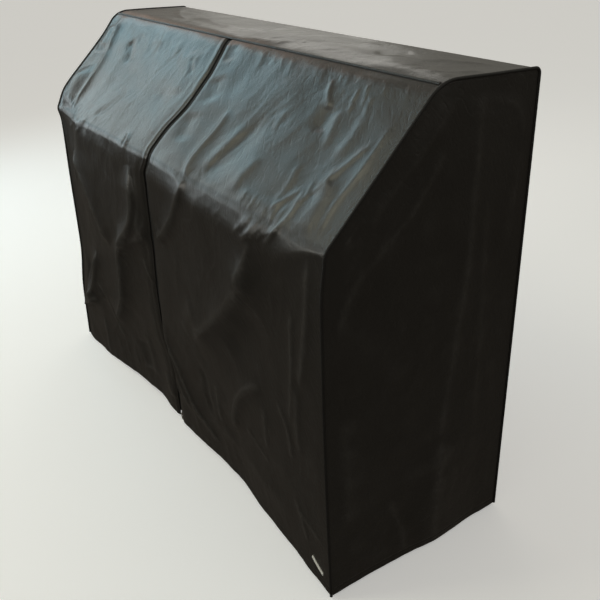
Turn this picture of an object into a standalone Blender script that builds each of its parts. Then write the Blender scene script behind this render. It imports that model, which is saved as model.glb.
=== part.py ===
# Fitted dust cover for an upright piano: six cloth panels, corded piping and a front zip.
# Run with: blender --background --python part.py
#
# The frame: X runs along the piano, to the right; Y runs from the front to the back; Z is up.
# The origin lies under the middle of the top panel, on the lid that carries the cover.

import math

import bmesh
import bpy
from mathutils import Matrix, Vector

# Driving dimensions in metres, measured to the middle of the cloth.
WIDTH = 1.520            # one end panel to the other
DEPTH = 0.520            # lower front to back
HEIGHT = 1.106           # hem to the front of the top
BACK_DROP = 0.010        # the top falls this much to its back edge
KNEE_HEIGHT = 0.845      # hem to the bend over the keyboard
CREST_SETBACK = 0.265    # lower front to the corner of slope and top
KNEE_RADIUS = 0.030
CREST_RADIUS = 0.090     # the round from slope to top, with its seam half way round
BACK_RADIUS = 0.012
CLOTH = 0.0015           # thickness of the coated cloth
LID_CLEARANCE = 0.0025   # from the lid to the underside of the top, at its back edge

PIPING_RADIUS = 0.0035   # corded piping on the seams
SEAM_GAP = 0.0006        # between pieces sewn to each other
INSET = PIPING_RADIUS + SEAM_GAP

ZIP_GAP = 0.018          # between the turned edges of the two front panels
TEETH_WIDTH = 0.0052
TEETH_THICKNESS = 0.0022
TAPE_THICKNESS = 0.0011
SLIDER_LENGTH = 0.014
SLIDER_WIDTH = 0.010
SLIDER_THICKNESS = 0.0048
PULL_LENGTH = 0.024
PULL_WIDTH = 0.0075
PULL_THICKNESS = 0.0016

LABEL_LENGTH = 0.048
LABEL_WIDTH = 0.010
LABEL_THICKNESS = 0.0006
LABEL_TILT = math.radians(20)
LABEL_PLACE = (0.706, 1.167)   # x, and the way down from the crest seam

EDGE_FADE = 0.055        # folds die out over this distance from a seam
SWAY_START = 0.75        # below this the front swings in towards the hem
NORMAL_REACH = 0.045     # folds rise along directions eased over this much of the profile

# The front seam of each end panel, pulled out of line by the cloth. "down" is the way from the crest
# seam, "along" the pull towards the middle of the piano, "in" the pull at right angles to the front.
LEFT_SEAM = [
    {"down": 0.00, "along": 0.014, "in": 0.000},
    {"down": 0.10, "along": 0.033, "in": 0.000},
    {"down": 0.20, "along": 0.026, "in": 0.000},
    {"down": 0.29, "along": 0.016, "in": 0.002},
    {"down": 0.37, "along": 0.026, "in": 0.018},
    {"down": 0.42, "along": 0.032, "in": 0.022},
    {"down": 0.60, "along": 0.030, "in": 0.018},
    {"down": 0.85, "along": 0.024, "in": 0.015},
    {"down": 1.02, "along": 0.006, "in": 0.003},
    {"down": 1.21, "along": -0.003, "in": -0.002},
]
RIGHT_SEAM = [
    {"down": 0.00, "along": 0.003, "in": 0.000},
    {"down": 0.36, "along": 0.000, "in": 0.000},
    {"down": 0.47, "along": 0.002, "in": -0.008},
    {"down": 0.80, "along": 0.004, "in": -0.006},
    {"down": 1.21, "along": 0.000, "in": -0.001},
]

# The zip's line down the front.
ZIP_LINE = [
    {"down": 0.00, "x": -0.010},
    {"down": 0.06, "x": 0.011},
    {"down": 0.12, "x": 0.022},
    {"down": 0.20, "x": 0.022},
    {"down": 0.29, "x": -0.001},
    {"down": 0.34, "x": -0.004},
    {"down": 0.37, "x": 0.003},
    {"down": 0.43, "x": -0.036},
    {"down": 0.60, "x": -0.050},
    {"down": 0.80, "x": -0.067},
    {"down": 0.92, "x": -0.074},
    {"down": 1.03, "x": -0.048},
    {"down": 1.16, "x": -0.062},
]

# How far the hem of the front swings in under the keyboard, and how much it rides up.
FRONT_HEM = [
    {"x": -0.76, "in": 0.000, "up": -0.004},
    {"x": -0.62, "in": -0.002, "up": -0.003},
    {"x": -0.38, "in": 0.021, "up": 0.008},
    {"x": -0.20, "in": 0.034, "up": 0.013},
    {"x": -0.07, "in": 0.023, "up": 0.006},
    {"x": 0.30, "in": 0.033, "up": 0.012},
    {"x": 0.42, "in": 0.021, "up": 0.007},
    {"x": 0.60, "in": 0.009, "up": 0.006},
    {"x": 0.76, "in": 0.000, "up": 0.000},
]

# Main folds. "path" is in the panel's own sizes: on the front and the top (x, distance from the crest
# seam), on an end (distance from the lower front, distance down). "left" and "right" are the widths
# of the flanks, seen along the path, and "height" is the rise out of the cloth, less than 0 a trough.
FRONT_FOLDS = [
    {"name": "rounded left end", "path": [(-0.675, 0.00), (-0.592, 0.14), (-0.565, 0.33)],
     "left": 0.06, "right": 0.09, "height": 0.008},
    {"name": "long ridge left of the zip",
     "path": [(-0.11, 0.42), (-0.13, 0.595), (-0.253, 0.705), (-0.308, 0.88), (-0.43, 1.03)],
     "left": 0.04, "right": 0.12, "height": 0.020},
    {"name": "valley beside it", "path": [(-0.10, 0.42), (-0.10, 0.55), (-0.20, 0.665)],
     "left": 0.03, "right": 0.03, "height": -0.008},
    {"name": "valley along the zip", "path": [(-0.02, 0.40), (-0.05, 0.62), (-0.074, 0.92)],
     "left": 0.05, "right": 0.05, "height": -0.009},
    {"name": "short ridge below the left knee", "path": [(-0.60, 0.475), (-0.49, 0.57), (-0.355, 0.725)],
     "left": 0.10, "right": 0.05, "height": 0.010},
    {"name": "fold over at the left foot", "path": [(-0.77, 1.08), (-0.66, 1.046), (-0.58, 0.995)],
     "left": 0.10, "right": 0.04, "height": 0.014},
    {"name": "ridge across the zip",
     "path": [(-0.235, 0.69), (-0.055, 0.585), (0.10, 0.52), (0.20, 0.38), (0.20, 0.20)],
     "left": 0.05, "right": 0.05, "height": 0.011},
    {"name": "broad diagonal right", "path": [(0.515, 0.45), (0.45, 0.56), (0.30, 0.70), (0.165, 0.82)],
     "left": 0.06, "right": 0.13, "height": 0.016},
    {"name": "second diagonal right", "path": [(0.50, 0.785), (0.385, 0.885), (0.315, 1.03)],
     "left": 0.05, "right": 0.05, "height": 0.007},
    {"name": "upright fold by the right seam", "path": [(0.71, 0.42), (0.69, 0.60), (0.62, 0.82)],
     "left": 0.04, "right": 0.05, "height": 0.006},
    {"name": "fan at the foot of the zip", "path": [(-0.045, 0.86), (0.00, 0.99), (0.10, 1.06), (0.32, 1.10)],
     "left": 0.05, "right": 0.06, "height": 0.008},
    {"name": "trough down the right slope", "path": [(0.36, 0.16), (0.27, 0.34)],
     "left": 0.05, "right": 0.05, "height": -0.007},
    {"name": "fullness at the knee", "path": [(-0.52, 0.40), (0.64, 0.40)],
     "left": 0.07, "right": 0.09, "height": 0.012},
]
TOP_FOLDS = [
    {"name": "ridge left", "path": [(-0.66, -0.17), (-0.34, -0.09)],
     "left": 0.04, "right": 0.05, "height": 0.004},
    {"name": "ridge right", "path": [(0.08, -0.06), (0.62, -0.07)],
     "left": 0.05, "right": 0.04, "height": 0.004},
    {"name": "short ridge right", "path": [(0.24, -0.10), (0.36, -0.20)],
     "left": 0.04, "right": 0.04, "height": 0.003},
]
END_FOLDS = [
    {"name": "pressed upright crease", "path": [(0.37, 0.04), (0.36, 0.40), (0.31, 0.80), (0.295, 1.10)],
     "left": 0.06, "right": 0.06, "height": 0.004},
    {"name": "pressed slanting crease", "path": [(0.29, 0.12), (0.07, 0.34), (0.03, 0.46)],
     "left": 0.05, "right": 0.06, "height": 0.004},
    {"name": "billow at the hem", "path": [(0.30, 0.80), (0.32, 1.16)],
     "left": 0.10, "right": 0.09, "height": 0.010},
]
BACK_FOLDS = [
    {"name": "soft upright fold left", "path": [(-0.30, 0.10), (-0.34, 1.10)],
     "left": 0.12, "right": 0.12, "height": 0.006},
    {"name": "soft upright fold right", "path": [(0.34, 0.20), (0.30, 1.10)],
     "left": 0.12, "right": 0.12, "height": 0.007},
]

FRONT_COLUMNS = 17       # faces across one front panel
LOWER_ROWS = 16          # faces down the lower front
ARC_ROWS = 3             # faces round the knee and round each half of the crest
SLOPE_ROWS = 8
TOP_COLUMNS = 26
TOP_ROWS = 6
END_COLUMNS = 9
BACK_COLUMNS = 14
BACK_ROWS = 11


def rounded_path(corners, arc_steps=12):
    """Points along a line of corners, each turned with its own radius, and where each arc lies."""
    points = [Vector(corners[0]["at"])]
    arcs = {}
    for before, corner, after in zip(corners, corners[1:], corners[2:]):
        at = Vector(corner["at"])
        arriving = (at - Vector(before["at"])).normalized()
        leaving = (Vector(after["at"]) - at).normalized()
        turn = arriving.angle(leaving)
        tangent = corner["radius"] * math.tan(turn / 2)
        side = 1 if arriving.cross(leaving) > 0 else -1
        across = Vector((-arriving.y, arriving.x)) * side
        centre = at - arriving * tangent + across * corner["radius"]
        first = len(points)
        for step in range(arc_steps + 1):
            angle = side * turn * step / arc_steps
            points.append(centre + Matrix.Rotation(angle, 2) @ (-across * corner["radius"]))
        arcs[corner["name"]] = (first, len(points) - 1)
    points.append(Vector(corners[-1]["at"]))
    return points, arcs


# The end profile as (y, z), from the front hem over the top to the back hem.
PROFILE = [
    {"name": "front hem", "at": (0.0, 0.0)},
    {"name": "knee", "at": (0.0, KNEE_HEIGHT), "radius": KNEE_RADIUS},
    {"name": "crest", "at": (CREST_SETBACK, HEIGHT), "radius": CREST_RADIUS},
    {"name": "back edge", "at": (DEPTH, HEIGHT - BACK_DROP), "radius": BACK_RADIUS},
    {"name": "back hem", "at": (DEPTH, 0.0)},
]
path_points, path_arcs = rounded_path(PROFILE)
path_lengths = [0.0]
for start, end in zip(path_points, path_points[1:]):
    path_lengths.append(path_lengths[-1] + (end - start).length)
crest_first, crest_last = path_arcs["crest"]
crest_seam = (path_lengths[crest_first] + path_lengths[crest_last]) / 2


def down_at(name, end):
    """Distance from the crest seam of an arc's end: more than 0 to the front, less than 0 to the back."""
    return crest_seam - path_lengths[path_arcs[name][end]]


FRONT_HEM_DOWN = crest_seam
BACK_HEM_DOWN = crest_seam - path_lengths[-1]
KNEE_START, KNEE_END = down_at("knee", 1), down_at("knee", 0)
CREST_FRONT, CREST_BACK = down_at("crest", 0), down_at("crest", 1)
BACK_START, BACK_END = down_at("back edge", 0), down_at("back edge", 1)
BACK_SEAM = (BACK_START + BACK_END) / 2
TOP_MIDDLE = (CREST_BACK + BACK_START) / 2


def profile_point(down):
    """The (y, z) point of the end profile at a distance from the crest seam."""
    distance = crest_seam - down
    last = len(path_points) - 2
    index = 0
    while index < last and path_lengths[index + 1] < distance:
        index += 1
    span = path_lengths[index + 1] - path_lengths[index]
    share = (distance - path_lengths[index]) / span
    return path_points[index].lerp(path_points[index + 1], share)


def profile_normal(down, reach=NORMAL_REACH):
    """The outward direction of the end profile, as (y, z), eased round its bends by a wide reach."""
    run = profile_point(down - reach) - profile_point(down + reach)
    return Vector((-run.y, run.x)).normalized()


seam_y, seam_z = profile_point(0.0)
ORIGIN_Y = (seam_y + DEPTH) / 2
ORIGIN_Z = HEIGHT - BACK_DROP - CLOTH / 2 - LID_CLEARANCE


def placed(x, point):
    """A profile point at x, in the part's own frame."""
    return Vector((x, point[0] - ORIGIN_Y, point[1] - ORIGIN_Z))


def smooth(value):
    """0 below 0, 1 above 1, and an even S between."""
    value = min(max(value, 0.0), 1.0)
    return value * value * (3 - 2 * value)


def from_table(rows, column, key, value):
    """A value read from a table between its rows, eased so that it has no corners."""
    if value <= rows[0][key]:
        return rows[0][column]
    for low, high in zip(rows, rows[1:]):
        if value <= high[key]:
            share = smooth((value - low[key]) / (high[key] - low[key]))
            return low[column] + (high[column] - low[column]) * share
    return rows[-1][column]


def fold_height(fold, place):
    """The rise of one fold at a place on its panel: full along its path, fading at both ends."""
    path = [Vector(point) for point in fold["path"]]
    total = sum((end - start).length for start, end in zip(path, path[1:]))
    nearest = None
    passed = 0.0
    for start, end in zip(path, path[1:]):
        run = end - start
        share = min(max((place - start).dot(run) / run.length_squared, 0.0), 1.0)
        offset = place - (start + run * share)
        if nearest is None or offset.length < nearest[0]:
            side = "right" if run.x * offset.y - run.y * offset.x > 0 else "left"
            nearest = (offset.length, side, (passed + run.length * share) / total)
        passed += run.length
    distance, side, along = nearest
    taper = smooth(along * 4 + 0.25) * smooth((1 - along) * 4 + 0.25)
    return fold["height"] * taper * math.exp(-(distance / fold[side]) ** 2)


def all_folds(folds, place):
    return sum(fold_height(fold, Vector(place)) for fold in folds)


def seam_table(side):
    return LEFT_SEAM if side < 0 else RIGHT_SEAM


def seam_x(side, down):
    """Where the seam of an end panel lies along X."""
    down = min(max(down, 0.0), FRONT_HEM_DOWN)
    return side * (WIDTH / 2 - from_table(seam_table(side), "along", "down", down))


def seam_in(side, down):
    """How far the same seam is pulled in, which dies out over the crest."""
    fade = smooth((down - CREST_BACK) / (CREST_FRONT - CREST_BACK))
    down = min(max(down, 0.0), FRONT_HEM_DOWN)
    return from_table(seam_table(side), "in", "down", down) * fade


def seam_point(side, down):
    """A point of the seam round an end panel."""
    back_fade = 1 - smooth(down / TOP_MIDDLE) if down < 0 else 1.0
    x = side * WIDTH / 2 + (seam_x(side, down) - side * WIDTH / 2) * back_fade
    return placed(x, profile_point(down) - profile_normal(down) * seam_in(side, down))


def inside_seam(side, down):
    """A point of the end panel's edge, set in from its seam by the piping."""
    reach = 0.004
    run = seam_point(side, down - reach) - seam_point(side, down + reach)
    inward = Vector((0.0, run.z, -run.y)).normalized()
    return seam_point(side, down) + inward * INSET


def front_height(x, down):
    """The rise of the front cloth above its plain profile."""
    to_left = x - seam_x(-1, down)
    to_right = seam_x(1, down) - x
    fade = smooth(min(to_left, to_right) / EDGE_FADE) * smooth(down / EDGE_FADE)
    pulls = 0.0
    for side, distance in ((-1, to_left), (1, to_right)):
        pulls -= seam_in(side, down) * (1 - smooth(distance / 0.24))
    sway = from_table(FRONT_HEM, "in", "x", x) * smooth((down - SWAY_START) / (FRONT_HEM_DOWN - SWAY_START))
    return all_folds(FRONT_FOLDS, (x, down)) * fade + pulls - sway


def front_point(x, down, lift=0.0):
    """A point of the front cloth, from the crest seam down to the wavy hem."""
    rise = from_table(FRONT_HEM, "up", "x", x) * smooth((down - SWAY_START) / (FRONT_HEM_DOWN - SWAY_START))
    height = front_height(x, down) + lift
    return placed(x, profile_point(down - rise) + profile_normal(down) * height)


def zip_x(down):
    return from_table(ZIP_LINE, "x", "down", down)


def spread(start, end, count):
    return [start + (end - start) * step / count for step in range(count + 1)]


def front_rows():
    """The rows of the front panels: close together round the crest and the knee."""
    rows = spread(INSET, CREST_FRONT, ARC_ROWS)
    rows += spread(CREST_FRONT, KNEE_START, SLOPE_ROWS)[1:]
    rows += spread(KNEE_START, KNEE_END, ARC_ROWS)[1:]
    rows += spread(KNEE_END, FRONT_HEM_DOWN, LOWER_ROWS)[1:]
    return rows


def named_collection(name):
    collection = bpy.data.collections.new(name)
    bpy.context.scene.collection.children.link(collection)
    return collection


def finish_material(name, colour, roughness, metallic=0.0):
    material = bpy.data.materials.new(name)
    material.use_nodes = True
    shader = material.node_tree.nodes["Principled BSDF"]
    shader.inputs["Base Color"].default_value = (*colour, 1.0)
    shader.inputs["Roughness"].default_value = roughness
    shader.inputs["Metallic"].default_value = metallic
    return material


def add_sheet(name, rows, columns, point_at, thickness, material, collection):
    """A cloth sheet: a grid laid over the surface point_at(row value, share across), then thickened."""
    mesh = bpy.data.meshes.new(name)
    grid = bmesh.new()
    bmesh.ops.create_grid(grid, x_segments=columns, y_segments=len(rows) - 1, size=0.5)
    for vert in grid.verts:
        share = vert.co.x + 0.5
        row = rows[round((0.5 - vert.co.y) * (len(rows) - 1))]
        vert.co = point_at(row, share)
    grid.to_mesh(mesh)
    grid.free()
    mesh.shade_smooth()
    sheet = bpy.data.objects.new(name, mesh)
    solid = sheet.modifiers.new("cloth thickness", "SOLIDIFY")
    solid.thickness = thickness
    solid.offset = 0.0
    mesh.materials.append(material)
    collection.objects.link(sheet)
    return sheet


def add_cord(name, points, radius, material, collection):
    """Corded piping: a round cord along a line of points."""
    curve = bpy.data.curves.new(name, "CURVE")
    curve.dimensions = "3D"
    curve.bevel_depth = radius
    curve.bevel_resolution = 2
    curve.use_fill_caps = True
    line = curve.splines.new("POLY")
    line.points.add(len(points) - 1)
    for control, point in zip(line.points, points):
        control.co = (*point, 1.0)
    curve.materials.append(material)
    cord = bpy.data.objects.new(name, curve)
    collection.objects.link(cord)
    return cord


def build_front_panels(material, collection):
    for side, name in ((-1, "front_panel_left"), (1, "front_panel_right")):
        def point_at(down, share, side=side):
            by_zip = zip_x(down) + side * ZIP_GAP / 2
            by_seam = seam_x(side, down) - side * INSET
            left, right = (by_seam, by_zip) if side < 0 else (by_zip, by_seam)
            return front_point(left + (right - left) * share, down)
        add_sheet(name, front_rows(), FRONT_COLUMNS, point_at, CLOTH, material, collection)


def build_top_panel(material, collection):
    rows = spread(BACK_SEAM + SEAM_GAP, BACK_START, ARC_ROWS - 1)
    rows += spread(BACK_START, CREST_BACK, TOP_ROWS)[1:]
    rows += spread(CREST_BACK, -INSET, ARC_ROWS)[1:]

    def point_at(down, share):
        left = seam_point(-1, down).x + INSET
        right = seam_point(1, down).x - INSET
        x = left + (right - left) * share
        fade = smooth(min(x - left, right - x, -down, down - BACK_SEAM) / EDGE_FADE)
        height = all_folds(TOP_FOLDS, (x, down)) * fade
        return placed(x, profile_point(down) + profile_normal(down) * height)

    add_sheet("top_panel", list(reversed(rows)), TOP_COLUMNS, point_at, CLOTH, material, collection)


def build_back_panel(material, collection):
    rows = spread(BACK_SEAM - SEAM_GAP, BACK_END, ARC_ROWS - 1)
    rows += spread(BACK_END, BACK_HEM_DOWN, BACK_ROWS)[1:]

    def point_at(down, share):
        edge = WIDTH / 2 - INSET
        x = -edge + 2 * edge * share
        fade = smooth((edge - abs(x)) / EDGE_FADE) * smooth((BACK_SEAM - down) / EDGE_FADE)
        height = all_folds(BACK_FOLDS, (x, BACK_SEAM - down)) * fade
        return placed(x, profile_point(down) + profile_normal(down) * height)

    add_sheet("back_panel", rows, BACK_COLUMNS, point_at, CLOTH, material, collection)


def build_end_panels(material, collection):
    """Each row of an end panel runs from its sloping front edge to the matching height of its back edge."""
    rows = spread(CREST_BACK, CREST_FRONT, 2 * ARC_ROWS)
    rows += front_rows()[ARC_ROWS + 1:]
    top_level = profile_point(CREST_BACK).y

    for side, name in ((-1, "side_panel_left"), (1, "side_panel_right")):
        def point_at(down, share, side=side):
            front = inside_seam(side, down)
            level = profile_point(down).y
            back = inside_seam(side, BACK_HEM_DOWN + (BACK_START - BACK_HEM_DOWN) * level / top_level)
            share = 1 - share if side < 0 else share
            point = front.lerp(back, share)
            bend = side * WIDTH / 2 - front.x
            point.x = side * WIDTH / 2 - bend * (1 - share) ** 2
            drop = HEIGHT - level
            edges = min(point.y - front.y, back.y - point.y, drop)
            rise = all_folds(END_FOLDS, (point.y + ORIGIN_Y, drop)) * smooth(edges / EDGE_FADE)
            point.x += side * rise
            return point
        add_sheet(name, rows, END_COLUMNS, point_at, CLOTH, material, collection)


def build_piping(material, collection):
    crest_ends = [seam_point(side, 0.0).x - side * (2 * PIPING_RADIUS + SEAM_GAP) for side in (-1, 1)]
    crest_line = [placed(x, profile_point(0.0)) for x in spread(*crest_ends, TOP_COLUMNS)]
    add_cord("piping_top_front", crest_line, PIPING_RADIUS, material, collection)
    rows = list(reversed(front_rows()[1:])) + spread(INSET, CREST_BACK, ARC_ROWS)
    rows += spread(CREST_BACK, BACK_START, TOP_ROWS)[1:]
    rows += spread(BACK_START, BACK_END, 2 * ARC_ROWS)[1:]
    rows += spread(BACK_END, BACK_HEM_DOWN, BACK_ROWS)[1:]
    for side, name in ((-1, "piping_side_left"), (1, "piping_side_right")):
        line = [seam_point(side, down) for down in rows]
        add_cord(name, line, PIPING_RADIUS, material, collection)


def build_zip(tape, metal, collection):
    """Two tapes with the closed teeth between them, then the slider and its pull at the hem."""
    hem = FRONT_HEM_DOWN - SLIDER_LENGTH - 0.002
    rows = [down for down in front_rows() if down < hem - 0.01] + [hem]
    tape_inner = TEETH_WIDTH / 2 + SEAM_GAP
    tape_outer = ZIP_GAP / 2 - SEAM_GAP
    strips = [
        ("zip_tape_left", -tape_outer, -tape_inner, TAPE_THICKNESS),
        ("zip_teeth", -TEETH_WIDTH / 2, TEETH_WIDTH / 2, TEETH_THICKNESS),
        ("zip_tape_right", tape_inner, tape_outer, TAPE_THICKNESS),
    ]
    for name, left, right, thickness in strips:
        def point_at(down, share, left=left, right=right):
            return front_point(zip_x(down) + left + (right - left) * share, down)
        add_sheet(name, rows, 1, point_at, thickness, tape, collection)

    middle = hem + SEAM_GAP + SLIDER_LENGTH / 2
    across = front_point(zip_x(middle) + 0.004, middle) - front_point(zip_x(middle) - 0.004, middle)
    upward = front_point(zip_x(middle), middle - 0.006) - front_point(zip_x(middle), middle + 0.006)
    outward = across.cross(upward).normalized()
    upward.normalize()
    frame = Matrix((upward.cross(outward), upward, outward)).transposed().to_4x4()
    slider = (SLIDER_WIDTH, SLIDER_LENGTH, SLIDER_THICKNESS)
    centre = front_point(zip_x(middle), middle)
    add_plate("zip_slider", slider, 0.0018, frame, centre, metal, collection)
    pull = (PULL_WIDTH, PULL_LENGTH, PULL_THICKNESS)
    in_front = outward * ((SLIDER_THICKNESS + PULL_THICKNESS) / 2 + SEAM_GAP)
    hanging = upward * ((SLIDER_LENGTH - PULL_LENGTH) / 2 - 0.004)
    add_plate("zip_pull", pull, 0.0006, frame, centre + in_front + hanging, metal, collection)


def add_plate(name, size, bevel, frame, centre, material, collection):
    """A small plate with rounded edges, turned to the cloth behind it."""
    mesh = bpy.data.meshes.new(name)
    block = bmesh.new()
    bmesh.ops.create_cube(block, size=1.0, matrix=Matrix.Diagonal((*size, 1.0)))
    block.to_mesh(mesh)
    block.free()
    mesh.materials.append(material)
    plate = bpy.data.objects.new(name, mesh)
    plate.matrix_world = Matrix.Translation(centre) @ frame
    rounding = plate.modifiers.new("rounded edges", "BEVEL")
    rounding.width = bevel
    rounding.segments = 2
    collection.objects.link(plate)
    return plate


def build_label(material, collection):
    """A woven label sewn flat on the right half, low by the corner, tilted with the cloth."""
    x, down = LABEL_PLACE
    lift = CLOTH / 2 + LABEL_THICKNESS / 2 + SEAM_GAP

    def point_at(row, share):
        along = (share - 0.5) * LABEL_LENGTH
        across = row * LABEL_WIDTH
        turned_x = along * math.cos(LABEL_TILT) - across * math.sin(LABEL_TILT)
        turned_down = along * math.sin(LABEL_TILT) + across * math.cos(LABEL_TILT)
        return front_point(x + turned_x, down + turned_down, lift)

    add_sheet("side_label", [-0.5, 0.5], 3, point_at, LABEL_THICKNESS, material, collection)


def build():
    for item in list(bpy.data.objects):
        bpy.data.objects.remove(item, do_unlink=True)
    collection = named_collection("piano cover")
    cloth = finish_material("coated cloth", (0.030, 0.029, 0.028), 0.42)
    piping = finish_material("piping", (0.010, 0.010, 0.010), 0.40)
    tape = finish_material("zip tape", (0.012, 0.012, 0.013), 0.75)
    metal = finish_material("zip metal", (0.60, 0.60, 0.58), 0.32, 1.0)
    woven = finish_material("woven label", (0.74, 0.73, 0.70), 0.80)
    build_front_panels(cloth, collection)
    build_top_panel(cloth, collection)
    build_back_panel(cloth, collection)
    build_end_panels(cloth, collection)
    build_piping(piping, collection)
    build_zip(tape, metal, collection)
    build_label(woven, collection)
    bpy.context.view_layer.update()


build()
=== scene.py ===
import math

import bmesh
import bpy
import numpy as np
from mathutils import Matrix, Vector, noise


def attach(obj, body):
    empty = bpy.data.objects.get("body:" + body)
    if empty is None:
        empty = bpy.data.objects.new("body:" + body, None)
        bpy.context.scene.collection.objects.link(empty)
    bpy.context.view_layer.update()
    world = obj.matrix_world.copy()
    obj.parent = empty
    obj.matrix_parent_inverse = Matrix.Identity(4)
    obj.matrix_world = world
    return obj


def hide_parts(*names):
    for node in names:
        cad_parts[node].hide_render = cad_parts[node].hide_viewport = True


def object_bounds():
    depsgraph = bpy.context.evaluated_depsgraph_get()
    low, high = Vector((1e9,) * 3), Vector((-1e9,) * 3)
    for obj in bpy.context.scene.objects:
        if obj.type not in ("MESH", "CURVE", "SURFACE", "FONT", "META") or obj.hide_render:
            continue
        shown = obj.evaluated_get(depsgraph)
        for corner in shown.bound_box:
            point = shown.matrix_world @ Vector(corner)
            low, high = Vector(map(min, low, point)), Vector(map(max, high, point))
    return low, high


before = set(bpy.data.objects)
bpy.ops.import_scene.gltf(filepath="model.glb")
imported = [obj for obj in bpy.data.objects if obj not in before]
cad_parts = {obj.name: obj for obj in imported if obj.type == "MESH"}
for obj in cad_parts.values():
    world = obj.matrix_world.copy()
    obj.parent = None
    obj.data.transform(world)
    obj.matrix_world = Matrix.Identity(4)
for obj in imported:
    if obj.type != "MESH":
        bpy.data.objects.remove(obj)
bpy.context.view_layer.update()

# Looks of a fitted cover for an upright piano. Metres. X along the piano, Y from front to back, Z up.
# The origin is on the lid, under the middle of the top panel. "down" is the way along the end profile
# from the crest seam: down the slope and the front above 0, over the top and down the back below 0.

cover = {
    "width": 1.520, "depth": 0.520, "height": 1.106, "backDrop": 0.010,
    "kneeHeight": 0.845, "crestSetback": 0.265,
    "kneeRadius": 0.030, "crestRadius": 0.090, "backRadius": 0.012,
    "clothInCad": 0.0015, "lidClearance": 0.0025,
    "cloth": 0.0008,          # the cloth itself; a turned hem is twice this
    "cordRadius": 0.0035,     # piping
    "tuck": 0.0022,           # from a seam's line to the cloth's edge, inside the piping
    "zipGap": 0.018,          # between the turned edges of the two front panels
    "edgeFade": 0.055,        # folds die out over this distance from a seam
    "swayStart": 0.75,        # below this the front swings in towards the hem
    "normalReach": 0.045,     # folds rise along directions eased over this much of the profile
}


def table(columns, rows):      # one dictionary for each row of values
    return [dict(zip(columns.split(), row)) for row in rows]


# The front seam of each end panel, pulled out of line by the cloth: "along" towards the middle of the
# piano, "inward" at right angles to the front.
leftSeam = table("down along inward", [
    (0.0, 0.014, 0.0), (0.1, 0.033, 0.0), (0.2, 0.026, 0.0), (0.29, 0.016, 0.002), (0.37, 0.026, 0.018),
    (0.42, 0.032, 0.022), (0.6, 0.03, 0.018), (0.85, 0.024, 0.015), (1.02, 0.006, 0.003),
    (1.21, -0.003, -0.002),
])
rightSeam = table("down along inward", [
    (0.0, 0.003, 0.0), (0.36, 0.0, 0.0), (0.47, 0.002, -0.008), (0.8, 0.004, -0.006), (1.21, 0.0, -0.001),
])
zipLine = table("down x", [
    (0.0, -0.01), (0.06, 0.011), (0.12, 0.022), (0.2, 0.022), (0.29, -0.001), (0.34, -0.004),
    (0.37, 0.003), (0.43, -0.036), (0.6, -0.05), (0.8, -0.067), (0.92, -0.074), (1.03, -0.048),
    (1.16, -0.062),
])
# How far the hem of the front swings in under the keyboard, and how much it rides up.
frontHem = table("x inward up", [
    (-0.76, 0.0, -0.004), (-0.62, -0.002, -0.003), (-0.38, 0.021, 0.008), (-0.2, 0.034, 0.013),
    (-0.07, 0.023, 0.006), (0.3, 0.033, 0.012), (0.42, 0.021, 0.007), (0.6, 0.009, 0.006),
    (0.76, 0.0, 0.0),
])


# the cover's shape

def smooth(value):
    value = np.clip(value, 0.0, 1.0)
    return value * value * (3 - 2 * value)


def bell(offset, width):
    return np.exp(-(offset / width) ** 2)


def unit(vectors):
    return vectors / np.linalg.norm(vectors, axis=-1, keepdims=True)


def lengthsAlong(line):      # from the line's start to each of its points
    return np.append(0.0, np.cumsum(np.linalg.norm(np.diff(line, axis=0), axis=1)))


def flowing(rows, column, key, value):      # a smooth line through a table's rows, with no overshoot
    keys = np.array([row[key] for row in rows])
    values = np.array([row[column] for row in rows])
    rates = np.diff(values) / np.diff(keys)
    before, after = np.append(rates[0], rates), np.append(rates, rates[-1])
    product = before * after
    slopes = np.where(product > 0, 2 * product / np.where(product > 0, before + after, 1.0), 0.0)
    value = np.clip(value, keys[0], keys[-1])
    low = np.clip(np.searchsorted(keys, value) - 1, 0, len(keys) - 2)
    span = keys[low + 1] - keys[low]
    t = (value - keys[low]) / span
    bend = (1 + 2 * t) * (1 - t) ** 2 * values[low] + t * t * (3 - 2 * t) * values[low + 1]
    return bend + span * (t * (1 - t) ** 2 * slopes[low] - t * t * (1 - t) * slopes[low + 1])


def roundedPath(corners, arcSteps=24):      # points along a line of corners, and where each arc lies
    points, arcs = [Vector(corners[0]["at"])], {}
    for before, corner, after in zip(corners, corners[1:], corners[2:]):
        at = Vector(corner["at"])
        arriving = (at - Vector(before["at"])).normalized()
        leaving = (Vector(after["at"]) - at).normalized()
        turn = arriving.angle(leaving)
        side = 1 if arriving.cross(leaving) > 0 else -1
        across = Vector((-arriving.y, arriving.x)) * side
        centre = at - arriving * corner["radius"] * math.tan(turn / 2) + across * corner["radius"]
        first = len(points)
        for step in range(arcSteps + 1):
            spin = Matrix.Rotation(side * turn * step / arcSteps, 2)
            points.append(centre + spin @ (-across * corner["radius"]))
        arcs[corner["name"]] = (first, len(points) - 1)
    points.append(Vector(corners[-1]["at"]))
    return np.array(points), arcs


spare = 0.2        # the profile runs on this far below both hems
pathPoints, pathArcs = roundedPath([
    {"name": "front hem", "at": (0.0, -spare)},
    {"name": "knee", "at": (0.0, cover["kneeHeight"]), "radius": cover["kneeRadius"]},
    {"name": "crest", "at": (cover["crestSetback"], cover["height"]), "radius": cover["crestRadius"]},
    {"name": "back edge", "at": (cover["depth"], cover["height"] - cover["backDrop"]),
     "radius": cover["backRadius"]},
    {"name": "back hem", "at": (cover["depth"], -spare)},
])
pathLengths = lengthsAlong(pathPoints)
crestSeam = pathLengths[list(pathArcs["crest"])].mean()


def downAt(name, end):
    return crestSeam - pathLengths[pathArcs[name][end]]


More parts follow.
